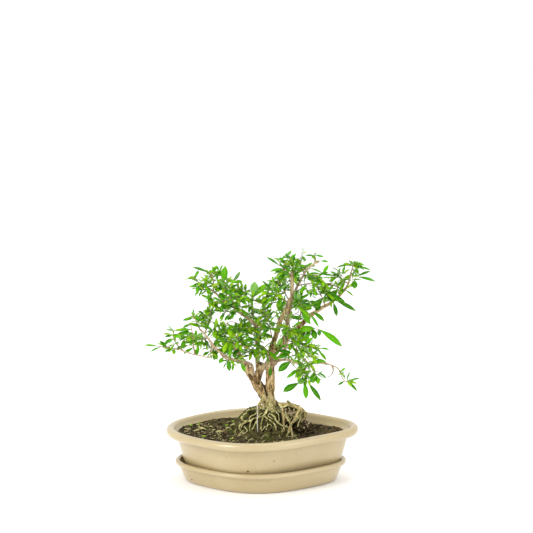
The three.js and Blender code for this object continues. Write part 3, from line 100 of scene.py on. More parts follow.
# Where the bark turns to twig bark (a radius), where it turns green and where hollows begin (heights)
YOUNG_WOOD = {"radius": 2.6, "fade": 1.6}
GREEN_BOLE = {"height": 104, "fade": 30}
HOLLOWS_FOOT = 58

# Where the photograph was taken from: its pixels are 1.02 mm apart at the tree
EYE = {
    "distance": 2000, "pitch": math.radians(10.24), "pixel": 1.0236, "middle": 266.5, "pole": 262.5,
    "foot": 479,
}
PHOTO_SIZE = 533
FILM = 36

# Soft lights by name: a place and a size in metres, and a share of the key light's power
LIGHTS = {
    "key": ((-1.2, -1.2, 1.15), 0.9, 1),
    "fill": ((1.3, -0.9, 0.8), 1.2, 0.3),
    "top": ((0.1, 0.5, 1.8), 1, 0.4),
}
LIGHT_AIM = (0, 0, 0.12)
# The width of the square floor, in metres
FLOOR_SIZE = 12

# Where the random draws start, and the full turn that they reach
SEEDS = {"crumbs": 61, "rootlets": 29, "moss": 83, "seedlings": 77, "sprays": 500}
FULL_TURN = 6.28
STRAW_COUNT = 130
# Leaf pairs from a shoot's tip down: their size, how far they open and the gap to the next pair
RANKS = [(0.62, 0.55, 1.3), (0.95, 0.95, 2.9), (1.05, 1.15, 3.8), (1, 1.3, 4)]

# Wood, open roots and roots over the mound: a course and its radii in millimetres. A point is a pixel
# across, a pixel down and how far behind the pot's middle it lies, or how far over the soil on the mound
LIMBS = {
    "bole": ([(271, 425, 19), (270.4, 412, 14), (268.8, 401, 12), (268, 391, 12)], [9, 8.8, 7.1, 6.4]),
    "right": ([(268, 397, 12), (269.8, 387, 12), (270, 378, 12), (270, 368, 12), (271, 358, 13),
        (271.6, 350, 13)], [6, 5.5, 5, 4.6, 4.3, 3.9]),
    "left": ([(266.5, 398, 11), (261, 390, 10), (256.6, 384, 9), (253.4, 377, 9)], [6, 5.6, 5.3, 4.2]),
    "sawn": ([(256, 382, 10), (258, 375, 12), (260, 368, 13), (261, 362.6, 13)], [4.6, 4.4, 4, 3.6]),
    "shelf": ([(254.5, 380, 9), (249.5, 373, 7), (246.4, 367, 5), (242, 359, 2), (238, 352, 0),
        (233.5, 344.5, -2), (229, 338, -4)], [4.4, 3.9, 3.4, 2.4, 1.9, 1.5, 1.1]),
    "crossing": ([(261.6, 372, 12), (264.6, 366, 12), (266.6, 361.4, 12), (269.4, 357, 13)],
        [1.9, 1.5, 1.2]),
    "crest": ([(258, 372, 13), (257.4, 362, 15), (258, 350, 15), (258, 337, 13), (257, 328.2, 10),
        (252.6, 322.6, 8), (247.5, 317.6, 6), (242.7, 314.5, 5), (238.4, 311.6, 4), (235, 307.7, 3),
        (229, 304, 2), (223, 301, 2), (218.6, 296, 1), (213.7, 291.6, 1), (209.2, 288.5, 0)],
        [2.4, 2.2, 2.1, 2, 1.7, 1.5, 1.3, 1]),
    "slender": ([(253, 372, 7), (251.6, 365, 2), (245.8, 362.4, -3), (237.3, 361, -7), (227, 356.9, -11),
        (221, 353.1, -14), (214, 346.6, -16), (210, 341, -17), (206.6, 336.7, -18), (203, 331.9, -19),
        (199.4, 329.2, -20)], [1.8, 1.7, 1.5, 1.4, 1.3, 1]),
    "leader": ([(271, 354, 13), (272.4, 346, 12), (274.8, 338.9, 11), (277, 332, 9), (278.6, 326, 8),
        (280, 320, 7), (283.4, 315, 6), (286.6, 309.5, 5), (289, 301.6, 4), (291.6, 297.6, 3),
        (292, 289, 2), (292.2, 281, 1), (291.8, 270.4, 0)], [3.6, 2.9, 2.6, 2.5, 2.2, 2, 1.8, 1.7]),
    "behind": ([(272, 356, 14), (276.6, 350, 17), (280, 345.6, 19), (283.6, 340.6, 21), (290, 334, 25),
        (297.8, 328, 29), (306, 319.6, 34), (314, 313, 37), (322, 307.6, 38), (330.5, 303, 38),
        (338, 297, 36), (344.6, 290, 34), (349, 282, 32), (351, 272, 30)],
        [3.8, 3.5, 3, 2.5, 2.1, 1.6, 1.3, 1]),
    "second": ([(281, 345.6, 19), (284.6, 336, 19), (286.4, 327.3, 18), (288.2, 316, 17), (291, 306, 16),
        (294, 297, 14), (296.5, 288, 13), (299.6, 281.6, 12), (303.7, 275, 11), (306, 270.6, 9),
        (311.3, 265.5, 8), (319.3, 261.5, 6)], [2, 1.8, 1.7, 1.5, 1.3, 1]),
    "low": ([(273, 363, 11), (278.8, 360.6, 4), (286.4, 359.7, -6), (293, 361.4, -14), (299, 364.4, -20),
        (303.6, 369, -24), (306.4, 375, -26)], [1.8, 1.5, 1.3, 1.1, 0.9]),
    "reach": ([(213.4, 346.2, -16), (211, 352, -18), (209.6, 357, -20), (200, 355.6, -25),
        (194.5, 354.6, -28), (186, 352, -32), (178, 349.4, -35)], [0.9, 0.8, 0.8, 0.7]),
    "rear": ([(272, 366, 14), (277, 360, 26), (283, 352, 38), (287, 343, 47), (288, 333, 53),
        (286, 322, 57)], [2.6, 2.2, 1.8, 1.4, 1]),
    "rear_left": ([(256, 380, 12), (250, 371, 22), (243, 361, 33), (236, 350, 42), (231, 340, 48),
        (228, 330, 52)], [2.6, 2.2, 1.8, 1.4, 1]),
}

OPEN_ROOTS = {
    "arch": ([(273, 400, 13), (278, 404.6, 9), (283.4, 404.6, 6), (290, 404.8, 4), (297.4, 407, 2),
        (303, 410.4, 1), (305.4, 413.8, 1), (304.6, 417, 2), (303, 420.6, 4)],
        [3, 2.6, 2.3, 2.3, 2.1, 1.8, 1.2]),
    "stub": ([(291, 405.5, 4), (289, 402.6, 3), (286.8, 400.6, 2)], [1.9, 1.5, 1.2]),
    "loop": ([(264.8, 397.6, 8), (262, 400.6, 4), (259.4, 404, -1), (258.2, 407.4, -1), (257.8, 411, 1),
        (257.8, 417, 5)], [2.1, 2, 1.8, 1.5, 1.1]),
    "first": ([(282.4, 404.4, 5), (282.6, 412, 0), (283.2, 418, -4), (283.9, 424.4, -7), (284, 432, -7)],
        [1.3, 1.1, 0.9]),
    "second": ([(299.4, 408, 2), (296, 416, -2), (293, 421.6, -5), (290, 427, -8), (287.2, 436, -8)],
        [1.6, 1.3, 0.9]),
    "third": ([(304.2, 411.6, 1), (300, 416, -2), (296.5, 419.5, -4), (290.9, 425, -7), (291.5, 430, -9),
        (293, 439, -9)], [1.6, 1.3, 1.1, 0.9]),
    "cross": ([(283, 412, -1), (287, 418.5, -4), (290.4, 424, -7)], [1, 0.9]),
}

MOUND_ROOTS = {
    "spread": ([(267, 409, 0), (263.5, 416, 2.2), (261.5, 423, 2.2), (260.6, 432, -2)], [1.1, 0.85, 0.7]),
    "splay": ([(263.8, 415.4, 2.2), (268, 419, 2.4), (272, 421.6, 2.4), (275.6, 426, 2.6),
        (276.4, 434, -3)], [0.9, 0.85, 0.7]),
    "wander": ([(268, 407, 0), (265.6, 414, 2.2), (259.3, 417.4, 2.4), (253, 418.8, 2.2),
        (250.2, 424.4, 2.2), (249.5, 434.5, -2)], [1.1, 0.9, 0.75]),
    "reach": ([(253.4, 418.6, 2.2), (249, 421.2, 2.2), (244.6, 420.9, 2), (240.4, 417.6, -2)], [1, 0.8]),
    "turn": ([(248.6, 421.2, 2.2), (242.4, 424.4, 2.2), (240.2, 432, -2)], [0.9, 0.8]),
}

# Sprays: the courses of their twigs, the ends of their shoots, and their large leaves, each with the
# point of its foot, the point of its tip and its width
SPRAYS = {
    "left_outer": (
        [((178.8, 349.6, -34.8), (174, 348.6, -36), (167, 347.4, -37), (159, 346.3, -39))],
        [(166, 347, -35), (172, 350, -38)],
        [(158.6, 346.2, -39, 144.5, 345.3, -42, 2.2), (160.4, 347, -38.6, 149.1, 350.8, -36, 2.2),
         (163, 346.6, -38, 171, 338.6, -44, 4), (167, 347, -37, 160.6, 341, -40, 3.4),
         (172.6, 349, -36, 164.8, 351.6, -36, 2.8), (174, 348.6, -36, 174.4, 354, -36, 3.4)]),
    "left_crook": (
        [((184, 351.4, -32.6), (178.6, 346.4, -33.4), (174.4, 340.6, -36), (173.4, 336, -38),
         (174.2, 330, -39))],
        [(174.4, 329.5, -39), (174.2, 345, -36), (173.6, 334.6, -42), (178, 340, -36)],
        [(173.4, 339, -37.6, 167, 341.8, -33, 4.6), (172.8, 335.6, -38, 164.8, 336.8, -42, 2.4),
         (173.6, 330.6, -39, 166.1, 329.7, -43, 1.8)]),
    "left_upright": (
        [((194.9, 355.1, -27.7), (193.6, 346, -27), (193, 338, -28), (191.8, 330, -29), (190.5, 324, -29))],
        [(184, 346.5, -29), (196, 336.5, -24), (190, 341.6, -26), (186, 337, -34), (183.6, 340, -36),
         (193.4, 343, -22)],
        [(190.6, 324.4, -29, 183.4, 327, -34, 3), (191.8, 329.6, -29, 176.2, 329, -36, 3.2),
         (192.4, 333.4, -28.4, 178.4, 332.8, -34, 4.2), (193.6, 347.4, -27, 183.6, 353.8, -29, 3.4),
         (194, 349, -27.2, 198, 355.2, -25, 4.2)]),
    "left_end": (
        [((200, 329.6, -20), (197, 324, -21), (195.6, 319.6, -22), (193.8, 315, -23))],
        [(193.6, 314.6, -23), (198, 322, -26), (203, 324.6, -16), (190.4, 316.4, -22), (200, 326, -24),
         (202, 318.6, -12)],
        [(192.6, 318.6, -23, 183.4, 319.2, -28, 3.2), (203, 313.8, -16, 198, 317.2, -14, 3)]),
    "left_riser": (
        [((204.5, 333.6, -19), (207.5, 327, -15), (210.6, 320.5, -12), (211, 314, -10), (209.4, 308, -9),
         (208.6, 301, -8), (211.5, 295, -7))],
        [(211.7, 294.5, -7), (208, 302, -12), (207.6, 309.4, -14), (205, 315.6, -14), (214, 308, -4),
         (206, 320.5, -16), (209, 298, -4), (212, 303.6, -12), (203.4, 312.6, -10), (209, 316, -6)],
        [(209, 322, -14, 205, 329, -18, 4.6), (212.6, 321.6, -10, 221.6, 328, -8, 3.4)]),
    "left_inner": (
        [((207.4, 338, -18), (203, 340, -8), (199, 342, 2), (194, 341, 10))],
        [(194, 341, 10), (199, 336.6, 4), (201.6, 343.6, -6), (204.4, 337.6, -8), (197.6, 346, 4),
         (206, 344, -12), (192, 337, 12)],
        [(205, 343, -14, 196.6, 343.2, -20, 4.4)]),
    "left_low": (
        [((211.8, 344, -16.5), (211.6, 350, -10), (213.6, 355, -6))],
        [(213.6, 355, -6), (208.6, 348, -8), (217, 350, -9), (215, 347, -10), (210, 353, -14)],
        [(209.4, 351.6, -10, 202.8, 354.8, -12, 3.6), (214.4, 353.4, -7, 217.2, 359.2, -10, 4)]),
    "left_hang": (
        [((220.6, 352.9, -14), (223, 357, -18), (229, 360, -19), (235, 361.6, -17), (241, 362, -14))],
        [(226, 363, -14), (232, 357.6, -22), (238, 359, -18)],
        [(223.4, 357.4, -18, 219, 362.6, -22, 4.2), (228.2, 359.6, -19, 229.4, 371, -24, 5),
         (233.8, 361.2, -17, 232.4, 370.8, -20, 2.8), (240.8, 362, -14, 245, 371.8, -18, 4)]),
    "crest_tip": (
        [((210.4, 289.2, 0), (204.6, 285.6, -2), (199.7, 283, -4), (195.5, 280, -6), (193.6, 278.4, -7))],
        [(193.6, 278.4, -7), (199.6, 286, -6), (204.6, 280, 0), (206.6, 291, -2), (201.6, 281.6, -8),
         (197, 288, -2), (207.6, 284, -6), (203, 287, 4)],
        [(193.8, 277.6, -7, 198, 272, -9, 2.6), (193, 278.6, -8, 187.8, 278, -8, 1.8),
         (198, 284.4, -5, 191.6, 286.4, -8, 2.8), (200.6, 288, -5, 194.6, 296, -8, 2.2),
         (203, 289, -4, 198.2, 296, -8, 2.2), (203.6, 286, -4, 211.4, 291.8, -10, 3.6)]),
    "crest_top": (
        [((213.4, 291.4, 1), (213.2, 281.8, 4), (211.5, 276, 6), (209.2, 272.7, 6))],
        [(214.6, 276, 10), (219.6, 270.6, 10), (208.6, 278.6, 4), (218, 281, 12), (211, 273.6, 8),
         (216.6, 273, 4), (215, 284, -2)],
        [(208.8, 272.6, 6, 194.2, 266, 2, 2.8), (212.4, 272, 7, 217.4, 266.4, 8, 2.8)]),
    "crest_middle": (
        [((232, 306, 3), (231, 298, 0), (228, 292.4, -2), (225, 286, -4), (223.6, 282.6, -4))],
        [(228.6, 281.4, -2), (219, 284, -6), (220.6, 294, -4), (230.4, 287.6, -6), (224, 288.6, -8),
         (217.6, 287.6, -2), (226.6, 284.4, 2), (233, 293, -4)],
        [(223.4, 282.4, -4, 225, 267.2, -5, 7.2), (225.4, 295.4, -3, 220.4, 299.8, -8, 4)]),
    "crest_right": (
        [((237, 309, 4), (237.6, 300, 9), (236, 292, 12), (233.6, 286, 13), (232.5, 282.4, 13))],
        [(240, 292.4, 14), (246, 291, 16), (243.4, 287.6, 12), (234, 291, 16), (241, 296, 10),
         (238, 289, 8), (245, 296, 12)],
        [(232.5, 281.8, 13, 241.2, 272, 14, 4), (233, 282.6, 13, 242.2, 281.3, 10, 4)]),
    "crest_front": (
        [((226, 302.6, 2), (226.6, 300, -6), (230, 297, -12), (236, 298.6, -15))],
        [(230.4, 296.6, -14), (236, 299, -16), (226, 304.6, -12), (219.6, 302, -10), (239.6, 301.6, -10),
         (222.6, 303.6, -14), (232.6, 303, -14), (216.6, 305, -8), (228.4, 300, -18), (236.6, 305, -12)],
        [(240.6, 300.6, -12, 247, 304.4, -16, 3.4)]),
    "crest_under": (
        [((238.6, 311.8, 4), (232, 312.4, -4), (226, 311, -9), (220.6, 311, -12))],
        [(220, 311, -12), (228, 308.6, -12), (224, 316, -10), (233.4, 315.6, -6), (214.6, 312.6, -10),
         (230, 312.6, -14), (236, 308, -10), (217, 315, -14), (225, 312, -4)],
        [(225, 313.4, -10, 220, 318.8, -12, 3), (229.6, 314, -8, 224.6, 320.8, -12, 3.2),
         (233, 314, -6, 229.8, 319.4, -8, 2.8), (239, 309, -2, 246, 312, -10, 3.6)]),
    "crest_back": (
        [((244, 315.4, 5.5), (240, 309, 18), (234, 302, 28), (226, 296, 36))],
        [(226, 296, 36), (234, 297, 34), (240, 303, 26), (219, 302, 34), (230, 309, 30), (243, 308, 30),
         (222, 306, 26), (236, 310, 20), (228, 302, 42), (238, 297, 24)],
        []),
    "saddle": (
        [((254, 324.4, 8.6), (252.4, 314, 2), (251.2, 306, -2), (252.6, 300, -4), (253.4, 297.4, -4))],
        [(251, 299, -8), (257, 299.6, -4), (248.4, 305, -6), (255, 314, -4), (259, 303, 2), (249, 312, 4),
         (245.6, 318, -2), (262, 301.6, -2), (254, 308, -8), (252, 318, -4), (258, 309, 6)],
        [(253.4, 297, -4, 255.6, 281.2, -5, 9), (253.8, 296.8, -4, 265.4, 283.2, -7, 6.4),
         (262, 300.6, -4, 271, 294.6, -6, 3.4)]),
    "shelf_end": (
        [((230.6, 340.4, -3.6), (225, 335, -8), (219, 331.6, -12), (215, 332, -14))],
        [(215, 332, -14), (222, 329, -12), (218.6, 337, -16), (228, 331, -14), (212.6, 327, -10),
         (220, 334, -6), (225, 339, -14), (216, 327.6, -18), (213, 335, -20)],
        [(226, 333.6, -9, 231.6, 325, -14, 3.4)]),
    "shelf_top": (
        [((235, 347, -1.4), (236, 339, 4), (240, 331, 8), (244, 326, 10))],
        [(244, 326, 10), (237, 327.6, 10), (232, 333, 6), (246, 333, 6), (240, 321.6, 14), (241, 330, 0),
         (234.6, 338, -4), (248.6, 328, 4), (237, 333, 14)],
        [(238, 330, 4, 229, 324, 2, 3.4)]),
    "shelf_front": (
        [((239.5, 354.4, 0.2), (241, 348.3, -10), (240.6, 342, -18), (236, 337, -22))],
        [(236, 336.6, -22), (243, 339.6, -20), (231, 343, -20), (246.6, 346, -14), (228, 348.6, -22),
         (238, 345, -22), (240, 336, -16), (233.6, 349, -16), (247, 341, -20), (226, 343, -24)],
        [(242, 345, -16, 250, 338, -20, 4)]),
    "shelf_low": (
        [((243.6, 361.6, 3.4), (240, 357, 12), (234, 353.6, 18), (227, 351.6, 22))],
        [(227, 351.6, 22), (234, 349, 22), (240, 351, 18), (231, 357, 16), (220.6, 346, 20),
         (237.6, 345, 16), (224, 346.6, 14), (243, 354, 12), (230, 345, 28)],
        []),
    "heart": (
        [((258.2, 344, 14.6), (254.6, 346, 5), (251, 350, -2)), ((254.6, 346, 5), (257, 340, 0),
         (261, 335, 0), (264, 331, 2))],
        [(251, 350.6, -3), (247.6, 351.6, 4), (256, 339, 2), (261.6, 327, 4), (252.4, 334, 6),
         (249, 345, 8), (254, 342, -4), (258.6, 331, 8), (255.4, 353, 2), (264, 336, -4), (268, 338.6, 3),
         (262.8, 342.6, -2)],
        [(261, 334, 6, 271.6, 336, 0, 5), (259.4, 344.4, 10, 266.8, 351, 6, 3.6)]),
    "inner": (
        [((271.4, 353, 12.6), (267, 350, 4), (262.6, 347, -4), (259, 349, -8))],
        [(259, 349, -9), (263.6, 342, -4), (262, 355.6, -6), (268, 346, -4), (256, 345, -8),
         (266.6, 356, -2), (260, 352, -14), (265, 349, 10)],
        [(268, 351, 2, 278.2, 360.4, -4, 4.4), (265.6, 349.6, 1, 262.6, 358.4, -4, 3.4)]),
    "bole_front": (
        [((272, 357, 12.4), (275, 353, 4), (279, 351, -2)), ((275, 353, 4), (273, 358.4, 0),
         (270.6, 366, 3))],
        [(281, 346, -2), (276, 346, -4)],
        [(276.6, 350, 2, 291.9, 353.2, -6, 4.2), (290.6, 352.8, -2, 278.4, 357.4, -11, 5.4),
         (270.6, 366.4, 3, 270.2, 376.6, 2, 3.6)]),
    "thread": (
        [((273.6, 342.4, 11.2), (271.4, 335, 6), (270.2, 328, 2), (269, 321, 0), (265, 315.2, -2),
         (259.4, 309.6, -4))],
        [(259.4, 309.4, -4), (262.6, 305, 0), (266, 323.6, -6), (273.4, 322, -2), (263, 317, -8),
         (272, 312, -4), (276, 328, -4), (265.6, 309.6, -6), (259.6, 316.6, -2), (268, 330, -6),
         (268.6, 314, 4), (275, 317, -8)],
        [(270.2, 328.6, 2, 262, 326, -4, 3.6)]),
    "fork_left": (
        [((288.6, 302.6, 4), (284.4, 300, 0), (280, 297, -4), (274, 292.6, -8), (269, 288.4, -10))],
        [(269, 288.2, -10), (273.6, 290, -14), (266, 294, -8), (271.6, 300, -8), (277, 302, -6),
         (281, 296, -10), (277.6, 289.6, -6), (282, 303, -2), (265.6, 298.6, -4), (274.6, 296.6, -14),
         (268, 303, -10)],
        [(270.4, 289, -10, 262, 280.4, -12, 2.2), (275, 299, -7, 263.6, 302.6, -10, 3.6)]),
    "fork_peak": (
        [((289.4, 300.8, 4), (286.6, 296, 8), (283.4, 289.6, 11), (280, 284, 13), (278.6, 280, 13))],
        [(278.6, 279.6, 13), (284, 284.6, 16), (275.6, 285, 10), (281, 291.6, 8), (273.4, 282.6, 14),
         (279, 288, 18), (287, 290, 14)],
        [(277.6, 281.4, 13, 266.4, 279.6, 10, 1.8)]),
    "top_left": (
        [((291.6, 277, 0.6), (287, 270.4, -5), (283, 267, -7), (279, 265.4, -8))],
        [(284.6, 262.6, -8), (286.4, 274.6, -8), (281, 270.6, -4), (288, 266, -8), (283.6, 272, -10),
         (279.6, 262.4, -4)],
        [(279, 265.3, -8, 267.3, 256.8, -10, 2.6), (283.8, 268.8, -7, 270.6, 269.5, -10, 3.4),
         (285.4, 260.4, -8, 273.6, 258.2, -12, 1.8), (285, 271.6, -6, 277.4, 279.2, -10, 2.8),
         (286.6, 273, -6, 280.2, 280, -8, 2.4)]),
    "top_middle": (
        [((291.9, 272.6, 0), (292.2, 266, 4), (290.4, 260.4, 5))],
        [(293, 260.6, 4), (297, 264.4, 8), (287.4, 257.6, 6), (296.4, 272, -6), (290, 264.6, -2),
         (299.6, 269.4, 6), (294.6, 268, -4), (294, 277, -8)],
        [(286.6, 256, 6, 291.4, 250.6, 8, 3.2), (290, 260, 5, 295.6, 253.3, 4, 2.4)]),
    "top_tip": (
        [((304.2, 274, 10.6), (301.4, 266.6, 12), (299.8, 260, 12), (302.6, 253.6, 11))],
        [(302.8, 253, 11), (301, 261.4, 8), (307.4, 265, 14), (304, 268.6, 16), (298.6, 264.6, 16),
         (305.6, 261, 16), (300.6, 271, 14)],
        [(306, 267, 12, 312.6, 262.6, 14, 2.2)]),
    "top_rosette": (
        [((314.6, 263.6, 7), (315, 259, 6), (314.8, 255.6, 5))],
        [(314.8, 255.4, 5), (319.6, 260.6, 8), (315, 255, 4)],
        [(314.8, 255.6, 5, 306.4, 254.6, 0, 2), (315.2, 255, 5, 323.6, 256.2, 2, 2.6),
         (321, 261, 6, 327.2, 260.8, 2, 2.6), (315, 255.4, 5, 312, 258.4, -1, 3.6)]),
    "arch_right": (
        [((303, 276, 11), (309, 274.4, 4), (315, 275.4, -2), (322, 274.4, -6))],
        [(311, 280, -2), (317.6, 278, -8), (322.4, 282, -6), (307, 278.6, 2), (314.6, 281.6, -8),
         (319.6, 285, -4)],
        [(322, 274.2, -6, 333.8, 275.8, -10, 2.6), (322.8, 273.8, -6, 327.6, 265.6, -8, 3.8),
         (307.6, 273.8, 5, 319, 272.6, -2, 2.8), (308.4, 275.4, 4, 321.4, 281, -4, 6.6),
         (310, 268, 9, 322, 272.6, 6, 1.8)]),
    "right_inner": (
        [((297.6, 285.6, 12.6), (303, 284.6, 6), (308, 283.6, 2), (313, 282.8, -2))],
        [(312.6, 286.6, -6), (304, 279.6, 4), (306.6, 289, -2), (316, 291.6, -6), (300.4, 291, 2),
         (310.6, 280, 0), (303.6, 286, -4), (311.6, 293, -2), (298, 280.6, 4)],
        [(306, 284.6, 4, 301.6, 291.6, 0, 3)]),
    "right_upper": (
        [((345.4, 289.4, 34), (344.6, 289.4, 30), (340, 288.2, 28), (334, 285.6, 25), (327.6, 283, 22))],
        [(327, 283, 22), (330, 288, 26), (335, 286, 20), (340.4, 283.6, 26), (323.6, 286.6, 18),
         (332, 282.6, 28), (337, 290, 24), (326, 288, 26)],
        [(337.6, 290, 29, 329.6, 294, 26, 3.6), (344, 289.6, 29, 338.4, 293.6, 24, 5),
         (345, 289.6, 29, 354, 295.4, 27, 2)]),
    "right_crown": (
        [((348.6, 283.4, 32.4), (344, 281, 30), (341, 278, 29), (338, 275.6, 28))],
        [(338, 275.4, 28), (343.6, 273, 28), (346.4, 277, 26), (342, 284, 32), (340.4, 271.6, 24),
         (334.6, 277.6, 26), (345, 280, 22)],
        [(338, 274.6, 28, 340.4, 268, 26, 1.8), (337.6, 275, 28, 331.6, 271, 24, 2.6)]),
    "right_tip": (
        [((350.8, 274, 30), (352, 268.6, 27), (353, 265, 26)), ((352, 268.6, 27), (355, 272.6, 24),
         (358, 276.4, 22))],
        [(353, 264.6, 28), (356, 263.6, 24), (353.6, 272, 24), (352.6, 283.6, 26), (350.4, 265, 26),
         (356, 268, 26), (354.4, 263.6, 29), (357.6, 266, 27)],
        [(357, 266.6, 25, 370.4, 268.2, 22, 2), (350.6, 264.4, 27, 337, 265.6, 24, 2.4),
         (358, 275.6, 24, 370.6, 271.4, 22, 3.2), (358.4, 276.8, 24, 375.2, 279.6, 20, 3.6),
         (354.4, 280, 24, 354.8, 288.4, 20, 6.4)]),
    "right_fan": (
        [((335, 299.6, 37), (332, 297.4, 28), (328.6, 293.6, 20), (327, 291, 16))],
        [(327.6, 296.4, 14), (332, 300.4, 20), (325.4, 291.6, 20), (324.6, 295.6, 12), (330, 291, 24)],
        [(327.4, 291.4, 16, 339.4, 301.8, 8, 7.6), (332.4, 295, 24, 345.6, 302.4, 16, 5.2),
         (337.6, 301.2, 28, 355.8, 309, 22, 5), (333.6, 302.8, 30, 337.2, 315.8, 26, 4.4),
         (328.4, 296, 18, 333.6, 300.4, 10, 6)]),
    "right_fork": (
        [((325, 306, 38), (323, 299.4, 30), (319.5, 292, 22), (317.6, 287, 18))],
        [(317.6, 286.8, 18), (314.6, 302.6, 24), (320.4, 296, 20), (313.6, 296.4, 24), (323, 290, 26),
         (317, 299, 30), (315.6, 292, 22)],
        [(322, 299, 28, 313.6, 308, 18, 7.4), (320, 303, 32, 316.6, 309.6, 24, 5.6)]),
    "right_middle": (
        [((297, 328.8, 28.6), (298.6, 321, 16), (300.6, 313, 6), (300, 306, 0), (297.6, 300, -4))],
        [(297.4, 299.6, -4), (304, 303, 2), (293.6, 304, -2), (304.4, 310.4, 0), (308.6, 305.4, 8),
         (301, 296.6, 6), (300.4, 301.6, -8), (295.6, 309.6, -4), (307, 298.6, 0), (303.6, 306.6, 12),
         (311.6, 302, 14)],
        [(294, 303.2, -3, 311.4, 317.2, -10, 3.4), (301.6, 311.6, 4, 309.8, 322.2, -6, 5.6),
         (299.6, 320, 13, 289.6, 315.6, 4, 4), (310, 313.6, 4, 318.8, 326.6, -4, 2.8),
         (313, 312, 12, 324.6, 319.4, 8, 4.4)]),
    "droop": (
        [((300.4, 325.5, 30.2), (306, 326.6, 18), (312, 328.2, 8), (319.6, 329.8, 2))],
        [(304, 330, 16), (309.6, 334.6, 6), (302, 335.4, 14), (306.6, 332.4, 20), (313.6, 333, 12)],
        [(319.4, 329.6, 2, 342.3, 343.4, -6, 6.4), (312.4, 328.6, 8, 315.7, 339.4, 0, 6.4),
         (314.6, 328.2, 6, 300.8, 328.4, -4, 7), (318.6, 329.8, 2, 319.6, 334.6, -4, 4)]),
    "low_middle": (
        [((285.4, 338.8, 22), (291, 341.6, 10), (298, 343.6, 0), (306, 346.4, -8), (312, 347.6, -12))],
        [(312.4, 346, -12), (317, 348.6, -10), (300, 339.6, -6), (305.6, 351.6, -12), (297, 336, 8),
         (293, 347.4, -2), (308.6, 342.6, -10), (301.6, 347.6, -12), (289.6, 343.4, 2), (312.4, 352.6, -14),
         (295.4, 341, -8)],
        [(320, 348, -10, 329, 349.2, -14, 2.2), (318.4, 350.6, -10, 326.4, 360, -14, 3.2),
         (305, 345.6, -8, 311.6, 337.4, -14, 4)]),
    "middle": (
        [((286.3, 328, 17.6), (289, 322, 8), (292.6, 318, 0)), ((289, 322, 8), (290, 327, 3),
         (292.6, 331, 0))],
        [(292.6, 317.6, 0), (286.6, 318.6, 0), (293.6, 326, -2), (288, 333.6, 0), (284, 328, 4),
         (290, 325.6, -6), (295.6, 331.6, 2), (286, 323, 8), (282.4, 334.4, 0)],
        [(290, 331, 6, 300.6, 335.6, -2, 4.4)]),
    "low_cluster": (
        [((300, 365, -20.6), (305, 359, -26), (309.6, 354.6, -30)), ((305, 359, -26), (309, 364.6, -32),
         (313, 370, -34), (315.6, 374.6, -36))],
        [(309.6, 354.4, -30), (303, 356.4, -24), (314.6, 358, -28), (307, 364.6, -32), (299.6, 371, -28),
         (303, 375.4, -20), (315.8, 374.4, -37), (298.6, 358.6, -18), (310.6, 361.4, -36),
         (311.6, 366, -26), (301, 367, -30), (315, 379, -30)],
        [(311.6, 361.4, -30, 322.8, 361.2, -36, 4.4), (316.6, 358.4, -28, 327.2, 364.6, -34, 4.4),
         (297.6, 360.6, -20, 303.8, 368.2, -26, 5), (313.6, 372.6, -34, 313, 382.8, -42, 7.6),
         (316.6, 375.6, -36, 318.6, 384.4, -42, 4.4), (318, 372, -34, 327, 377.4, -36, 2.2)]),
    "low_inner": (
        [((288.7, 360.2, -9.4), (290.8, 362.8, -16), (295, 367, -25), (299, 371.6, -31))],
        [(299, 371.6, -31), (292, 366, -24)],
        [(290.6, 361.4, -14, 278, 370.2, -18, 7.6), (298, 370.8, -29, 286.4, 376.9, -32, 3.6)]),
    "low_fan": (
        [((306.2, 374.4, -26), (306.6, 378, -27), (305.6, 381.4, -28))],
        [(301.4, 374, -32), (309, 378, -34)],
        [(306, 377.4, -26, 297.4, 384.6, -32, 6.2), (298.4, 383, -30, 283.4, 391.8, -34, 7.2),
         (304.6, 382.6, -28, 306.3, 398.6, -33, 5.6), (308, 382.8, -28, 321.6, 399.6, -33, 4.6)]),
    "low_reach": (
        [((304.4, 370.2, -24.6), (308, 365.6, -27), (315, 363.2, -31), (326.6, 363.6, -37),
         (332, 365.4, -39), (338.5, 369, -41), (340.7, 374.5, -42), (344.6, 381, -43), (348, 381.4, -44)),
         ((332, 365.4, -39), (333.2, 370, -38), (331, 375.4, -37), (327.7, 376.7, -36))],
        [(340.8, 372.6, -43), (348, 381, -44), (341.6, 374, -40), (349, 382, -42)],
        [(349.6, 380.4, -44, 359.4, 378.2, -48, 2), (349, 382, -44, 357.2, 390.8, -46, 2.8),
         (344.4, 381.4, -43, 338.2, 384.2, -46, 2.6), (340.8, 372.2, -43, 344.2, 367.8, -46, 2.4)]),
    "back_high": (
        [((291.9, 284, 1.4), (293, 280, 16), (291, 276, 28), (286, 274, 36))],
        [(286, 274, 36), (292, 271, 34), (297, 276.6, 28), (285, 281, 32), (291, 283.6, 38),
         (281.6, 276, 26), (289, 278, 24), (295, 283, 24), (283, 287, 26)],
        []),
    "back_middle": (
        [((286.8, 326, 55.8), (284, 316, 60), (281, 307, 62)), ((285.2, 320.4, 58.4), (291, 316, 60),
         (299, 312, 60))],
        [(281, 307, 62), (276, 314, 62), (287, 311, 66), (299, 312, 60), (294, 320.6, 66), (281.4, 322, 66),
         (290, 304, 56), (275, 320, 56), (285.6, 304, 54), (296.6, 306.6, 52), (288.6, 318, 70)],
        []),
    "back_low": (
        [((287.8, 336, 52), (294, 338, 58), (301, 341, 62)), ((294, 338, 58), (296, 346, 58),
         (299, 355, 56))],
        [(301, 341, 62), (296, 334.6, 66), (305, 347, 58), (297, 355, 56), (303, 358.6, 50), (291, 346, 60),
         (288, 357, 44), (299, 349, 64), (294, 342, 50), (308, 352, 46)],
        []),
    "back_left": (
        [((228.6, 332, 51.4), (223, 327, 54), (217, 324.6, 54)), ((223, 327, 54), (229, 322, 59),
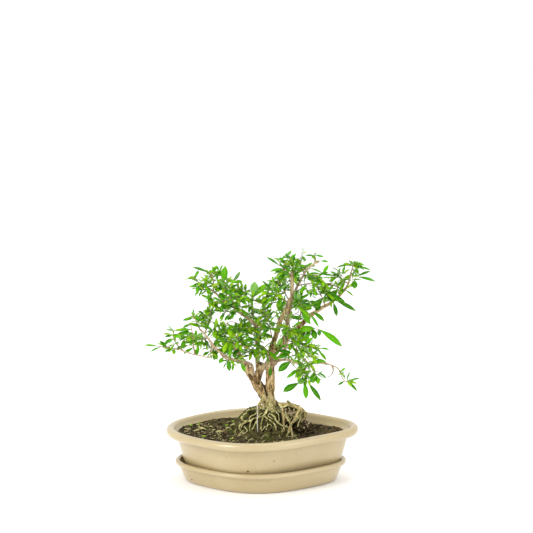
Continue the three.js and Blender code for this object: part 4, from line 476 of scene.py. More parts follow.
         (237, 323, 61), (243, 327, 60))],
        [(217, 324.6, 54), (222, 333, 60), (228.6, 324, 58), (212, 331, 48), (243, 327, 58),
         (236.6, 325.6, 62), (241, 335, 60), (232, 330.6, 44), (219, 338, 50), (247, 332, 54)],
        []),
    "back_saddle": (
        [((258, 341, 14), (260, 334, 26), (260, 326, 38), (257, 319, 46))],
        [(257, 319, 46), (263, 322, 48), (251.6, 324.6, 44), (264.6, 331, 40), (254.6, 333, 42),
         (261, 312, 42), (258, 327, 52), (249.6, 318, 40), (266.6, 316, 38)],
        []),
}
THICK_TWIGS = {"low_reach": 1.05}

# Gaps in the foliage that show the sky: a pixel across, a pixel down and a radius in pixels
SKY_GAPS = [
    (243.7, 304.3, 3), (256.7, 305.2, 4), (260, 306, 3), (218, 314, 5), (227.5, 315, 4.2),
    (235.7, 318.6, 4), (230.4, 323, 3), (214.3, 320.4, 3), (212.5, 326.6, 3), (217, 329, 2.5),
    (246.4, 311.4, 2.5), (269.6, 332.9, 3), (272, 335.5, 3), (255.4, 315, 2), (251.8, 336.4, 2),
    (256.3, 341, 2), (260.7, 344.5, 2), (265.2, 343.6, 2.5), (198, 328, 2.5), (176.8, 338.2, 2.5),
    (181, 340.5, 2), (179.5, 345.4, 3), (207, 352, 2.5), (303.6, 262.3, 3), (308, 260.5, 3),
    (288.4, 279.3, 2.5), (307, 282, 3), (309, 287.3, 3), (325.9, 281, 3), (328.6, 286.4, 2.5),
    (333, 282.9, 2), (319.6, 295.4, 2.5), (307, 298, 3.4), (317.9, 297.1, 2.5), (294.6, 311.4, 3),
    (292.9, 320.4, 3.4), (300, 312.3, 2.5), (291, 325.7, 2.4), (258.9, 314.1, 2), (267.9, 306.1, 2),
    (276.8, 307.9, 2), (274.1, 314.1, 2.5), (274.1, 320.4, 3), (282.1, 320.4, 2), (289.3, 341.8, 3),
    (296.4, 348.9, 2.5), (305.4, 358.8, 2), (314.3, 365.9, 3), (291, 366, 4), (263.4, 339.1, 2),
    (200, 262, 6), (210, 263, 5), (234, 268, 6), (246, 272, 6), (247, 281, 4), (262, 272, 7), (196, 300, 8),
    (203, 306, 5), (185, 312, 8), (176, 324, 6), (340, 318, 12), (330, 350, 9), (321, 262, 4),
    (328, 268, 4), (335, 260, 8), (312, 269, 4), (318, 272, 3), (326, 274, 3), (311, 252, 4), (299, 254, 4),
    (279, 268, 3), (272, 260, 5), (344, 305, 6), (345, 276, 3), (342, 268, 3), (318, 335, 8),
    (355.8, 257, 4.5), (351.4, 255.6, 4), (317, 249.4, 4), (319.4, 252.6, 3), (250, 287, 3), (257, 294, 2),
    (229, 284, 2.4), (214, 294, 2.6), (219, 305, 3),
]
# Stretches of limb and twig that no leaf hides, from end to end in pixels
BARE_STRETCHES = [
    (209.8, 288.2, 223.2, 301.6), (238.4, 312.3, 255.4, 326.6), (202.7, 330.2, 214.3, 347.1),
    (214.3, 347.1, 226.8, 357), (226.8, 357, 242.9, 362.3), (242.9, 362.3, 254.5, 368.6),
    (265.2, 316.8, 270.5, 332.9), (281.3, 318.6, 277.7, 336.4), (269.6, 338, 275, 356),
    (279.5, 284.6, 289.3, 300.7), (292, 274, 292.9, 297), (289, 302, 281, 320),
    (303.6, 273.9, 298.2, 288.2), (308.9, 265, 320.5, 261.4), (311.6, 283.8, 300.9, 284.6),
    (317.9, 287.3, 323.2, 298.9), (312.5, 295.4, 319.6, 301.6), (327.7, 282.9, 339.3, 288.7),
    (344.6, 287.3, 350, 281), (350, 281, 351, 272), (320.5, 308.8, 329.5, 303.4),
    (297.3, 329.3, 305.4, 320.4), (286.6, 316.8, 288.4, 325.7), (258, 371, 262, 364), (213, 276, 216, 284),
    (225, 288, 230, 297), (273, 352, 272, 364),
]

# Thin pale roots over the mound (a pixel across, a pixel down, the lift off the soil) and their thickness
ROOTLETS = [
    ([(270.5, 414, 0.4), (274.6, 417, 1.6), (275.9, 420.4, 1.8), (282.6, 425.7, 1.8), (288.6, 427.4, 0)],
        0.85),
    ([(241.6, 416, 0), (242, 418.4, 1.2), (243.6, 421, 1.4), (249.8, 421.4, 1.2)], 0.6),
    ([(241, 423.7, 1), (239.6, 426, 1.4), (239.4, 429.7, -0.6)], 0.7),
    ([(244.4, 426.4, 0.9), (246, 428.6, 1.2), (248, 431.4, -0.6)], 0.5),
    ([(230, 425.6, 0), (232.4, 424.4, 0.9), (235, 424, 0)], 0.5),
    ([(237.6, 436.4, 0), (240, 433.6, 0.8), (243, 430.4, 0)], 0.45),
    ([(243, 434.6, 0), (245, 433, 0.7), (248, 430.8, 0)], 0.4),
    ([(252, 430, 0), (254.6, 425.4, 1), (256, 421, 0.4), (258, 418.4, 0)], 0.45),
    ([(266, 429.6, 0), (267.6, 424, 1), (266.4, 420.6, 0.6), (264.6, 418.4, 0)], 0.45),
    ([(262, 431, 0), (265, 427, 0.9), (269, 424.6, 0.8), (271.6, 421.4, 0)], 0.4),
    ([(270, 413, 0), (268, 415.6, 0.8), (271.4, 418.2, 1.2), (274, 419, 0.4)], 0.55),
    ([(283.6, 427, 0.4), (282.6, 430, 0.9), (281, 433.6, -0.5)], 0.55),
    ([(287, 424.6, 0.6), (285, 427.4, 1), (284.6, 430.6, -0.4)], 0.4),
    ([(290.4, 428, 1), (291.6, 431, 1), (293.4, 434, -0.4)], 0.5),
    ([(247, 413, 0), (244, 414.4, 0.8), (242.4, 417, 0.2)], 0.5),
    ([(250, 409.6, 0), (246.6, 411, 1), (245, 414, 0.2)], 0.45),
    ([(258, 411, 0), (255, 414.4, 1), (251.6, 415.6, 0.8), (249, 418.6, 0)], 0.5),
    ([(262.4, 412.6, 0), (259.6, 415, 1.1), (257, 419.4, 1), (256.4, 424, 0)], 0.5),
    ([(276, 411.6, 0), (278.4, 415, 1), (279, 420, 0.9), (277.6, 424.6, 0)], 0.5),
    ([(226, 428.6, 0), (229, 427.4, 0.8), (231.6, 429.6, 0)], 0.4),
    ([(216, 431.6, 0), (220, 430.6, 0.9), (222.6, 432.4, 0)], 0.5),
    ([(194, 431, 0), (198.6, 429.4, 1), (203, 428.4, 0.9), (206, 429.4, 0)], 0.55),
    ([(209, 426.8, 0), (211.4, 426, 0.8), (213, 427.4, 0)], 0.4),
    ([(198, 426.6, 0), (201, 427.8, 0.7), (204.6, 427.2, 0)], 0.45),
]
# Roots that hang free inside the arch: a pixel across, a pixel down and the distance behind
HANGING = [
    ([(278.6, 403.6, 6), (281.9, 407, 3), (285, 406.4, 2), (288.4, 404.4, 2)], 1),
    ([(285.3, 411, 2), (287, 417, 0), (289.8, 421.7, -4), (290, 429, -8), (287.3, 435, -8)], 0.8),
    ([(300.7, 409, 2), (298, 414.6, 0), (295, 418, -3), (292.6, 422.4, -5)], 0.8),
    ([(302.6, 413, 4), (303.6, 418, 3), (300.6, 423, 1), (301, 428, 0)], 0.6),
    ([(288, 405.6, 5), (289.6, 410, 4), (287.6, 414, 3), (289.6, 419, 2)], 0.6),
    ([(293, 406, 5), (294.6, 410.6, 4), (297.6, 414, 3), (297, 420, 2)], 0.6),
    ([(296, 407, 4), (293.4, 411, 3), (292.4, 416, 2), (289, 421, 1)], 0.5),
    ([(305.6, 412, 3), (302.6, 415.6, 2), (299.4, 420.6, -1), (297.6, 427, -3)], 0.7),
]
# Hollows of the wood, pushed in and darkened with painted shade, from pixel to pixel, and their reach in
# pixels. The sawn knot is the first
HOLLOWS = [
    (260.3, 363.6, 261, 364.6, 1.7), (262.3, 381.4, 264.4, 387, 1.6), (264.4, 387, 267, 395.4, 1.5),
    (276.4, 402, 277.6, 406, 1.2), (303.6, 413, 301.8, 415, 1.1), (258.4, 382.6, 258.9, 384.6, 0.9),
    (249.6, 374.4, 252.2, 377.6, 1), (271.2, 363.6, 271.4, 365, 0.7), (271.2, 386, 271.6, 388, 0.7),
    (266.6, 394.6, 267, 399, 0.6), (291.2, 269.4, 292, 271, 1.5), (259.4, 387.6, 259.8, 389, 0.7),
]
# Hollows between the mound's roots, pushed back and darkened with painted shade: a pixel across, a pixel down
# and a reach
SOIL_HOLLOWS = [
    (251.8, 413.7, 3.4), (254.4, 421.4, 2.6), (279.4, 413, 3.2), (279.6, 419.4, 3.2), (267.8, 426, 2.4),
    (284, 427, 2), (288, 419, 3), (245.6, 424.4, 1.8), (257, 412, 1.6), (273.4, 417, 1.8),
    (263.6, 430.6, 2.2), (240, 414.6, 1.8), (271.6, 431, 1.8), (297, 430, 2.4),
]
# Heaps of clods under and behind the arched root, their dark clods partly soil and partly painted shade: a
# pixel, half a width and half a height in pixels, how far behind from and to, radii from and to, the share of
# pale clods and their number
CLOD_HEAPS = [
    ((293.4, 416.6), (12, 12), (3, 12), (0.9, 2.2), 0.06, 330),
    ((293, 413.4), (7.6, 3.6), (0, 3), (0.5, 1.1), 0.8, 60),
    ((304.6, 426.6), (8, 5), (-2, 8), (0.8, 1.9), 0.04, 150),
    ((287, 407), (5, 2.6), (7, 12), (1.4, 2.4), 0, 40),
]
# A rust brown chip on the soil's right bank: a pixel and its lift. No straw lies further right than the end
RUSTY_CHIP = (336.6, 427.6, 0.5)
SCRAPS_END = 38
# The tie wire, from behind the root loop over it and down into the soil
WIRE_COURSE = [
    (255.8, 406.8, 2), (256, 405.2, -1), (256.8, 405.2, -4), (257.5, 407, -5), (257.7, 412, -5),
    (257.5, 418, -5), (257.3, 424, -6), (257.6, 431, -7), (257.6, 433, -3),
]
# Seedlings that come up in the soil, in pixels
SEEDLINGS = [(190.6, 427), (199.4, 426), (203.8, 438.4), (230.4, 440.6), (232.6, 423), (226.4, 427)]

# Pinholes in the pot's glaze and in the saucer's: a point as above and a reach in millimetres
POT_PINHOLES = [
    ((247.9, 471.6, -58.9), 1.2), ((274, 461.2, -58.9), 0.7), ((226, 457.4, -57.1), 0.5),
    ((246.6, 473.4, -58.1), 0.5),
]
SAUCER_PINHOLES = [((191.8, 479.4, -20.7), 1), ((189.4, 476, -20), 0.6), ((280, 491.6, -50.2), 0.5)]
# Leaves that turn their pale underside, partly painted sheen, to the front, deep green, olive and yellow
# leaves, in pixels
PALE_LEAVES = [(255.4, 286.4), (236.8, 276.6), (288.8, 253.4), (316.4, 279.4), (300.6, 379.4), (327.4, 302.4)]
DEEP_LEAVES = [
    (332, 296.4), (343, 303), (350, 305), (335.5, 309.2), (290.7, 387.3), (270.3, 370.5), (199.3, 268.9),
    (284, 365),
]
OLIVE_LEAVES = [(332, 336), (304.8, 390)]
YELLOW_LEAVES = [(227.6, 345.2), (241.9, 352.6), (325.2, 293), (276.6, 297.4), (246.4, 346.6)]

# Roots behind the bole: where they start, from which bearing to which, their number, reach and radii
BACK_ROOTS = {"x": 8, "y": 12, "from": 10, "to": 170, "count": 4, "reach": 30, "radii": [2.4, 1.6, 0.9]}


def sighted(down, behind):
    """How much a sight line has spread, and its height, at a distance behind the pot's middle"""
    rise = (EYE["middle"] - down) * EYE["pixel"]
    sine = math.sin(EYE["pitch"])
    cosine = math.cos(EYE["pitch"])
    far = (behind - rise * sine) / (cosine + rise * sine / EYE["distance"])
    spread = 1 + far / EYE["distance"]
    return spread, rise * spread * cosine - far * sine


SIGHT_HEIGHT = -sighted(EYE["foot"], 0)[1]


def seen(place):
    """The point of the tree that a pixel shows"""
    across, down, behind = place
    spread, level = sighted(down, behind)
    x = (EYE["middle"] - EYE["pole"] + (across - EYE["middle"]) * spread) * EYE["pixel"]
    return Vector((x, behind, level + SIGHT_HEIGHT))


def pixel_of(point):
    """Where the photograph shows a point: a pixel across and a pixel down"""
    away = point - Vector(((EYE["middle"] - EYE["pole"]) * EYE["pixel"], 0, SIGHT_HEIGHT))
    sine = math.sin(EYE["pitch"])
    cosine = math.cos(EYE["pitch"])
    scale = (1 + (away.y * cosine - away.z * sine) / EYE["distance"]) * EYE["pixel"]
    return EYE["middle"] + away.x / scale, EYE["middle"] - (away.y * sine + away.z * cosine) / scale


def stretch_distance(stretch, across, down):
    """How far a pixel lies from a stretch"""
    ax, ay, bx, by = stretch
    run = (bx - ax, by - ay)
    share = ((across - ax) * run[0] + (down - ay) * run[1]) / (run[0] ** 2 + run[1] ** 2)
    share = min(max(share, 0), 1)
    return math.hypot(across - ax - share * run[0], down - ay - share * run[1])


def stretch_depths():
    """How far behind the pot's middle the wood of each bare stretch lies"""
    wood = [place for course, _ in LIMBS.values() for place in course]
    wood += [place for twigs, _, _ in SPRAYS.values() for twig in twigs for place in twig]
    depths = []
    for stretch in BARE_STRETCHES:
        nearest = min(wood, key=lambda place: stretch_distance(stretch, place[0], place[1]))
        depths.append(nearest[2])
    return depths


STRETCH_DEPTHS = stretch_depths()


def smooth_rise(share, top):
    """Rises smoothly from 0 at 0 to 1 at the top"""
    share = min(max(share / top, 0), 1)
    return share * share * (3 - 2 * share)


def soil_height(x, y):
    """How high the soil lies: its level, the mound, small lumps and the bank along the wall"""
    side = MOUND["front"] if y < MOUND["y"] else MOUND["back"]
    away = math.hypot((x - MOUND["x"]) / MOUND["half_width"], (y - MOUND["y"]) / side)
    lumps = 0.7 * math.sin(x / 11 + 1) * math.cos(y / 9) + 0.4 * math.sin(x / 5 - y / 6)
    right = RIGHT_BANK["height"] * smooth_rise(x - RIGHT_BANK["start"], RIGHT_BANK["fade"])
    height = BANK["height"] + BANK["left"] * max(-x, 0) + right * smooth_rise(y, RIGHT_BANK["behind"])
    out = math.hypot(x / BANK["half_width"], y / BANK["half_depth"])
    bank = height * smooth_rise(out - BANK["start"], BANK["fade"])
    return SOIL_LEVEL + MOUND["height"] * smooth_rise(1 - away, 1 - MOUND["top"]) + lumps + bank


def on_soil(place, furthest=BOLE_FRONT):
    """The point of the mound, or of the bole's front over it, that a pixel shows"""
    across, down, lift = place
    behind = -40.0
    point = seen((across, down, behind))
    while behind < furthest and point.z > soil_height(point.x, point.y):
        behind += 0.5
        point = seen((across, down, behind))
    return seen((across, down, behind - lift))


def plan_point(plan, angle):
    """A point of the plan's outline, on the lip's middle line"""
    swell = 1 + plan["lobes"] * math.cos(4 * angle) + plan["ends"] * math.cos(3 * angle)
    x = plan["reach"] * math.cos(angle) * swell
    y = plan["reach"] * plan["depth"] * math.sin(angle) * swell * (1 - plan["egg"] * math.cos(angle))
    return Matrix.Rotation(plan["turn"], 2) @ Vector((x, y))


def in_plan(plan, angle, out):
    """A point beside the lip's middle line; past the floor's inset the plan shrinks to its middle"""
    along = plan_point(plan, angle + 0.01) - plan_point(plan, angle - 0.01)
    normal = Vector((along.y, -along.x)).normalized()
    edge = plan_point(plan, angle) - normal * min(-out, FLOOR_INSET)
    shrink = (plan["reach"] + out) / (plan["reach"] - FLOOR_INSET) if out < -FLOOR_INSET else 1
    return edge * shrink + Vector((plan["shift"], 0))


def leaning(plan, x, z, foot, top):
    """A height on a wall whose lip isn't quite level"""
    return z + plan["slope"] * x * max(0, z - foot) / (top - foot)


def lip_arc(radius, height, start, stop, steps):
    """The section of a rolled lip, from angle to angle"""
    turns = [math.radians(start + (stop - start) * k / steps) for k in range(steps + 1)]
    return [(radius * math.cos(turn), height + radius * math.sin(turn)) for turn in turns]


def smooth_course(points, step):
    """Evenly spaced places on the smooth curve through some points"""
    points = [Vector(point) for point in points]
    ends = [2 * points[0] - points[1], *points, 2 * points[-1] - points[-2]]
    fine = []
    for before, start, stop, after in zip(ends, ends[1:], ends[2:], ends[3:]):
        gap = [max((b - a).length, 1e-4) ** 0.5 for a, b in ((before, start), (start, stop), (stop, after))]
        leave = (start - before) / gap[0] - (stop - before) / (gap[0] + gap[1]) + (stop - start) / gap[1]
        arrive = (stop - start) / gap[1] - (after - start) / (gap[1] + gap[2]) + (after - stop) / gap[2]
        leave *= gap[1]
        arrive *= gap[1]
        for k in range(20):
            t = k / 20
            fine.append(start * (2 * t ** 3 - 3 * t ** 2 + 1) + stop * (3 * t ** 2 - 2 * t ** 3)
                        + leave * (t ** 3 - 2 * t ** 2 + t) + arrive * (t ** 3 - t ** 2))
    fine.append(points[-1])
    reached = [0.0]
    for a, b in zip(fine, fine[1:]):
        reached.append(reached[-1] + (b - a).length)
    count = max(1, round(reached[-1] / step))
    places = []
    k = 0
    for i in range(count + 1):
        wished = reached[-1] * i / count
        while k < len(fine) - 2 and reached[k + 1] < wished:
            k += 1
        share = (wished - reached[k]) / max(reached[k + 1] - reached[k], 1e-9)
        places.append(fine[k].lerp(fine[k + 1], min(max(share, 0), 1)))
    return places


def spread_radii(radii, count):
    """The radii of a limb's list, one for each of its places"""
    result = []
    for i in range(count):
        spot = i / max(count - 1, 1) * (len(radii) - 1)
        k = min(int(spot), len(radii) - 2)
        result.append(radii[k] + (radii[k + 1] - radii[k]) * (spot - k))
    return result


def frames_along(places):
    """At each place of a course, two directions across it that turn as little as they can"""
    across = Vector((0.3, 1, 0.2))
    frames = []
    for i in range(len(places)):
        along = (places[min(i + 1, len(places) - 1)] - places[max(i - 1, 0)]).normalized()
        across = (across - along * across.dot(along)).normalized()
        frames.append((across.copy(), along.cross(across)))
    return frames


def mesh_of(bm, name):
    """Moves a bmesh into a new mesh"""
    mesh = bpy.data.meshes.new(name)
    bm.to_mesh(mesh)
    bm.free()
    return mesh


def add_shape(whole, part):
    """Puts one bmesh into another"""
    mesh = mesh_of(part, "part")
    whole.from_mesh(mesh)
    bpy.data.meshes.remove(mesh)


def toned(whole, names=("tone",)):
    """The layers that carry each corner's shades"""
    return [whole.verts.layers.float.new(name) for name in names]


def in_scene(name, data):
    """A new object in the scene"""
    made = bpy.data.objects.new(name, data)
    bpy.context.scene.collection.objects.link(made)
    return made


def tube(places, radii, sides, lumpy=None):
    """A closed tapering tube: a grid rolled round a course"""
    rings = len(places) - 1
    frames = frames_along(places)
    bm = bmesh.new()
    bmesh.ops.create_grid(bm, x_segments=sides, y_segments=rings, size=0.5)
    for vert in bm.verts:
        turn = (vert.co.x + 0.5) * 2 * math.pi
        k = round((vert.co.y + 0.5) * rings)
        radius = radii[k] * (lumpy(places[k], turn) if lumpy else 1)
        vert.co = places[k] + radius * (math.cos(turn) * frames[k][0] + math.sin(turn) * frames[k][1])
    bmesh.ops.remove_doubles(bm, verts=bm.verts, dist=1e-4)
    bmesh.ops.holes_fill(bm, edges=[edge for edge in bm.edges if edge.is_boundary], sides=0)
    bmesh.ops.recalc_face_normals(bm, faces=bm.faces)
    return bm


def finished(bm, name, material, nodes=(), smooth=True):
    """Scales a shape to metres and makes it a piece that rides with the plant"""
    bmesh.ops.scale(bm, vec=(MM, MM, MM), verts=bm.verts)
    for face in bm.faces:
        face.smooth = smooth
    piece = in_scene(name, mesh_of(bm, name))
    piece.data.materials.append(material)
    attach(piece, "root")
    if nodes:
        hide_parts(*nodes)
    return piece


def applied(piece):
    """Applies a piece's modifiers to its mesh"""
    depsgraph = bpy.context.evaluated_depsgraph_get()
    mesh = bpy.data.meshes.new_from_object(piece.evaluated_get(depsgraph))
    old = piece.data
    piece.modifiers.clear()
    piece.data = mesh
    bpy.data.meshes.remove(old)
    mesh.name = piece.name


def colour(red, green, blue):
    """A colour from its values on screen, 0 to 255"""
    def linear(value):
        value /= 255
        return value / 12.92 if value <= 0.04045 else ((value + 0.055) / 1.055) ** 2.4
    return (linear(red), linear(green), linear(blue), 1)


class Finish:
    """A material with its nodes, and short ways to add patterns to it"""

    def __init__(self, name, roughness, specular=0.5):
        self.material = bpy.data.materials.new(name)
        self.material.use_nodes = True
        self.nodes = self.material.node_tree.nodes
        self.links = self.material.node_tree.links
        self.shader = self.nodes["Principled BSDF"]
        self.shader.inputs["Roughness"].default_value = roughness
        self.shader.inputs["Specular IOR Level"].default_value = specular
        self.place = self.nodes.new("ShaderNodeTexCoord").outputs["Object"]

    def node(self, kind, **sockets):
        made = self.nodes.new(kind)
        for name, value in sockets.items():
            self.feed(made.inputs[name.replace("_", " ")], value)
        return made

    def feed(self, socket, value):
        if isinstance(value, bpy.types.NodeSocket):
            self.links.new(value, socket)
        else:
            socket.default_value = value

    def stretched(self, scale):
        return self.node("ShaderNodeMapping", Vector=self.place, Scale=scale).outputs["Vector"]

    def grain(self, scale, detail, rough, place=None):
        made = self.node("ShaderNodeTexNoise", Vector=place or self.place, Scale=scale, Detail=detail)
        made.inputs["Roughness"].default_value = rough
        return made.outputs["Fac"]

    def cells(self, scale):
        return self.node("ShaderNodeTexVoronoi", Vector=self.place, Scale=scale).outputs["Distance"]

    def attribute(self, name):
        made = self.nodes.new("ShaderNodeAttribute")
        made.attribute_name = name
        return made.outputs["Fac"]

    def ramp(self, factor, *stops):
        made = self.node("ShaderNodeValToRGB", Fac=factor)
        points = made.color_ramp.elements
        while len(points) < len(stops):
            points.new(0.5)
        for point, (place, shade) in zip(points, stops):
            point.position = place
            point.color = shade
        return made.outputs["Color"]

    def band(self, factor, low, high):
        made = self.node("ShaderNodeMapRange", Value=factor)
        made.inputs["From Min"].default_value = low
        made.inputs["From Max"].default_value = high
        return made.outputs["Result"]

    def mixed(self, factor, first, second):
        made = self.nodes.new("ShaderNodeMix")
        made.data_type = "RGBA"
        self.feed(made.inputs["Factor"], factor)
        self.feed(made.inputs[6], first)
        self.feed(made.inputs[7], second)
        return made.outputs[2]

    def maths(self, way, first, second=0.5):
        made = self.nodes.new("ShaderNodeMath")
        made.operation = way
        self.feed(made.inputs[0], first)
        self.feed(made.inputs[1], second)
        return made.outputs[0]

    def paint(self, value):
        self.feed(self.shader.inputs["Base Color"], value)

    def bumps(self, height, distance, strength):
        """Bumps of a height in metres, on top of any that are there"""
        made = self.node("ShaderNodeBump", Height=height, Distance=distance, Strength=strength)
        old = self.shader.inputs["Normal"]
        if old.is_linked:
            self.links.new(old.links[0].from_socket, made.inputs["Normal"])
        self.links.new(made.outputs["Normal"], old)


def glaze_finish(settings, pinholes):
    """Cream glaze: warm and uneven in tone, faint ripples, and a few brown pinholes"""
    finish = Finish("cream_glaze", settings.glaze_roughness)
    cloud = finish.grain(18, 3, 0.5)
    base = finish.ramp(cloud, (0.3, settings.glaze_shade), (0.7, settings.glaze_colour))
    fine = finish.grain(420, 2, 0.6)
    base = finish.mixed(finish.band(fine, 0.64, 0.78), base, colour(156, 138, 100))
    place = finish.node("ShaderNodeSeparateXYZ", Vector=finish.place)
    ripple = finish.grain(9, 2, 0.5, finish.stretched((1, 1, 5)))
    base = finish.mixed(finish.band(ripple, 0.5, 0.75), base, settings.glaze_shade)
    holes = finish.cells(46)
    rare = finish.grain(30, 1, 0.5)
    spots = finish.maths("MULTIPLY", finish.band(holes, 0.03, 0.018), finish.band(rare, 0.6, 0.66))
    front = finish.band(place.outputs["Y"], 0.0, -0.01)
    for pinhole, reach in pinholes:
        centre = seen(pinhole)
        sideways = finish.maths("SUBTRACT", place.outputs["X"], centre.x * MM)
        upward = finish.maths("SUBTRACT", place.outputs["Z"], centre.z * MM)
        squares = [finish.maths("MULTIPLY", off, off) for off in (sideways, upward)]
        away = finish.maths("SQRT", finish.maths("ADD", *squares))
        hole = finish.maths("MULTIPLY", finish.band(away, reach * 1.25 * MM, reach * 0.6 * MM), front)
        spots = finish.maths("MAXIMUM", spots, hole)
    base = finish.mixed(spots, base, colour(96, 66, 34))
    finish.paint(base)
    finish.shader.inputs["Coat Weight"].default_value = 0.6
    finish.shader.inputs["Coat Roughness"].default_value = 0.1
    finish.bumps(finish.grain(60, 2, 0.5), 0.0006, 0.35)
    finish.bumps(fine, 0.00008, 0.5)
    finish.bumps(finish.maths("SUBTRACT", 1, spots), 0.0003, 0.6)
    return finish.material


def turned_dish(plan, section, steps, foot, top, ground=False):
    """A section of (out from the lip's middle line, height) spun round and drawn out to its plan"""
    bm = bmesh.new()
    verts = [bm.verts.new((plan["reach"] + out, 0, z)) for out, z in section]
    edges = [bm.edges.new(pair) for pair in zip(verts, verts[1:])]
    bmesh.ops.spin(bm, geom=verts + edges, cent=(0, 0, 0), axis=(0, 0, 1), dvec=(0, 0, 0),
                   angle=2 * math.pi, steps=steps, use_merge=True, use_duplicate=False)
    bmesh.ops.remove_doubles(bm, verts=bm.verts, dist=1e-3)
    bmesh.ops.dissolve_degenerate(bm, edges=bm.edges, dist=1e-3)
    for vert in bm.verts:
        radius = math.hypot(vert.co.x, vert.co.y)
        flat = in_plan(plan, math.atan2(vert.co.y, vert.co.x), radius - plan["reach"])
        z = vert.co.z
        if ground and z > SOIL_LEVEL:
            vert.co = (flat.x, flat.y, soil_height(flat.x, flat.y))
        else:
            vert.co = (flat.x, flat.y, leaning(plan, flat.x, z, foot, top))
    bmesh.ops.recalc_face_normals(bm, faces=bm.faces)
    return bm


def flowing(points, step):
    """A section's stretch, rounded through its points"""
    return [(place.x, place.z) for place in smooth_course([(out, 0, z) for out, z in points], step)]


def make_pot(settings):
    """The pot: one section for foot, wall, rolled lip and inside, then its drains and feet"""
    axis = -POT_PLAN["reach"]
    section = [
        (axis, POT_FOOT), (-60, POT_FOOT), (-40, POT_FOOT), (-28, POT_FOOT),
        *flowing([(-25.4, POT_FOOT), (-23.6, 7.4), (-22.2, 8.4), (-20, 10.5), (-16.4, 16.2), (-13.6, 22),
                  (-10, 34), (-7.4, 43.6), (-6.2, 47)], 1.6),
        *lip_arc(LIP_RADIUS, LIP_HEIGHT, -112, 160, 22),
        *flowing([(-5.2, 53), (-7, 51.6), (-9.2, 49), (-12, 43), (-16, 34), (-21, 22), (-25.5, 15.5),
                  (-29, POT_FLOOR)], 2),
        (-45, POT_FLOOR), (-65, POT_FLOOR), (axis, POT_FLOOR),
    ]
    bm = turned_dish(POT_PLAN, section, DISH_STEPS, POT_FOOT, LIP_HEIGHT)
    glaze = glaze_finish(settings, POT_PINHOLES)
    pot = finished(bm, "glazed_pot", glaze, ["pot"])
    drill_drains(pot)
    add_feet(glaze)


def drill_drains(pot):
    """Cuts the drainage holes through the pot's floor"""
    holes = bmesh.new()
    for side in (-1, 1):
        place = Matrix.Translation((side * DRAIN["x"], 0, POT_FOOT + 3))
        bmesh.ops.create_cone(holes, cap_ends=True, segments=40, radius1=DRAIN["radius"],
                              radius2=DRAIN["radius"], depth=24, matrix=place)
    bmesh.ops.scale(holes, vec=(MM, MM, MM), verts=holes.verts)
    mesh = mesh_of(holes, "drains")
    drill = in_scene("drains", mesh)
    cut = pot.modifiers.new("drains", "BOOLEAN")
    cut.operation = "DIFFERENCE"
    cut.solver = "MANIFOLD"
    cut.object = drill
    applied(pot)
    bpy.data.objects.remove(drill)
    bpy.data.meshes.remove(mesh)


def add_feet(glaze):
    """Four low feet with a rounded edge below"""
    feet = bmesh.new()
    for side in (-1, 1):
        for end in (-1, 1):
            foot = bmesh.new()
            bmesh.ops.create_cone(foot, cap_ends=True, segments=36, radius1=FOOT["radius"] - 1.5,
                                  radius2=FOOT["radius"], depth=FEET_HEIGHT + 1)
            rims = [edge for edge in foot.edges if edge.verts[0].co.z < 0 and edge.verts[1].co.z < 0]
            bmesh.ops.bevel(foot, geom=rims, affect="EDGES", offset=0.8, segments=3, profile=0.5, material=-1)
            place = Matrix.Translation((end * FOOT["x"], side * FOOT["y"], POT_FOOT + 0.5 - FEET_HEIGHT / 2))
            bmesh.ops.transform(foot, matrix=place @ Matrix.Diagonal((1.5, 0.8, 1, 1)), verts=foot.verts)
            add_shape(feet, foot)
    finished(feet, "pot_feet", glaze)


def make_saucer(settings):
    """The saucer: one section for foot, wall, rolled lip and inside"""
    axis = -SAUCER_PLAN["reach"]
    section = [
        (axis, 0), (-60, 0), (-40, 0), (-20, 0), (-12, 0),
        *flowing([(-10.6, 0), (-9.2, 0.5), (-7.8, 1.6), (-5, 7.6), (-3.2, 12.2), (-1.6, 17.4)], 1.1),
        *lip_arc(SAUCER_LIP_RADIUS, SAUCER_LIP_HEIGHT, -50, 180, 18),
        *flowing([(-2.9, 18.6), (-4.6, 15), (-7, 10.4), (-9.6, 6.2), (-13.5, SAUCER_FLOOR)], 1.4),
        (-20, SAUCER_FLOOR), (-40, SAUCER_FLOOR), (-60, SAUCER_FLOOR), (axis, SAUCER_FLOOR),
    ]
    bm = turned_dish(SAUCER_PLAN, section, DISH_STEPS, SAUCER_FLOOR, SAUCER_LIP_HEIGHT)
    finished(bm, "drip_saucer", glaze_finish(settings, SAUCER_PINHOLES), ["saucer"])


def soil_finish(settings):
    """Dark potting soil: brown crumbs over darker soil that is partly painted shade between them, grey grit,
    dark patches of painted shade for the hollows between clods, and a green bloom of moss on the mound
    """
    finish = Finish("potting_soil", 0.95, 0.2)
    crumbs = finish.grain(700, 5, 0.7)
    clods = finish.grain(160, 4, 0.6)
    # Low places between the crumbs take the dark colour: partly dark soil, partly painted shade
    base = finish.ramp(crumbs, (0.3, settings.dark_soil_and_painted_shade), (0.62, settings.soil_colour),
                       (0.8, colour(128, 112, 88)))
    # Dark patches of painted shade stand for the hollows between clods
    base = finish.mixed(finish.band(clods, 0.5, 0.6), base, colour(34, 28, 16))
    grey = finish.band(finish.grain(950, 2, 0.5), 0.68, 0.72)
    base = finish.mixed(grey, base, colour(150, 138, 104))
    patches = finish.band(finish.grain(240, 4, 0.7), 0.44, 0.6)
    bloom = finish.maths("MULTIPLY", finish.attribute("mossy"), patches)
    base = finish.mixed(bloom, base, settings.moss_colour)
    # Painted shade darkens the hollows between the mound's roots
    base = finish.mixed(finish.attribute("dark"), base, colour(30, 23, 12))
    finish.paint(base)
    finish.bumps(crumbs, 0.0008, 1)
    finish.bumps(clods, 0.0012, 0.8)
    return finish.material


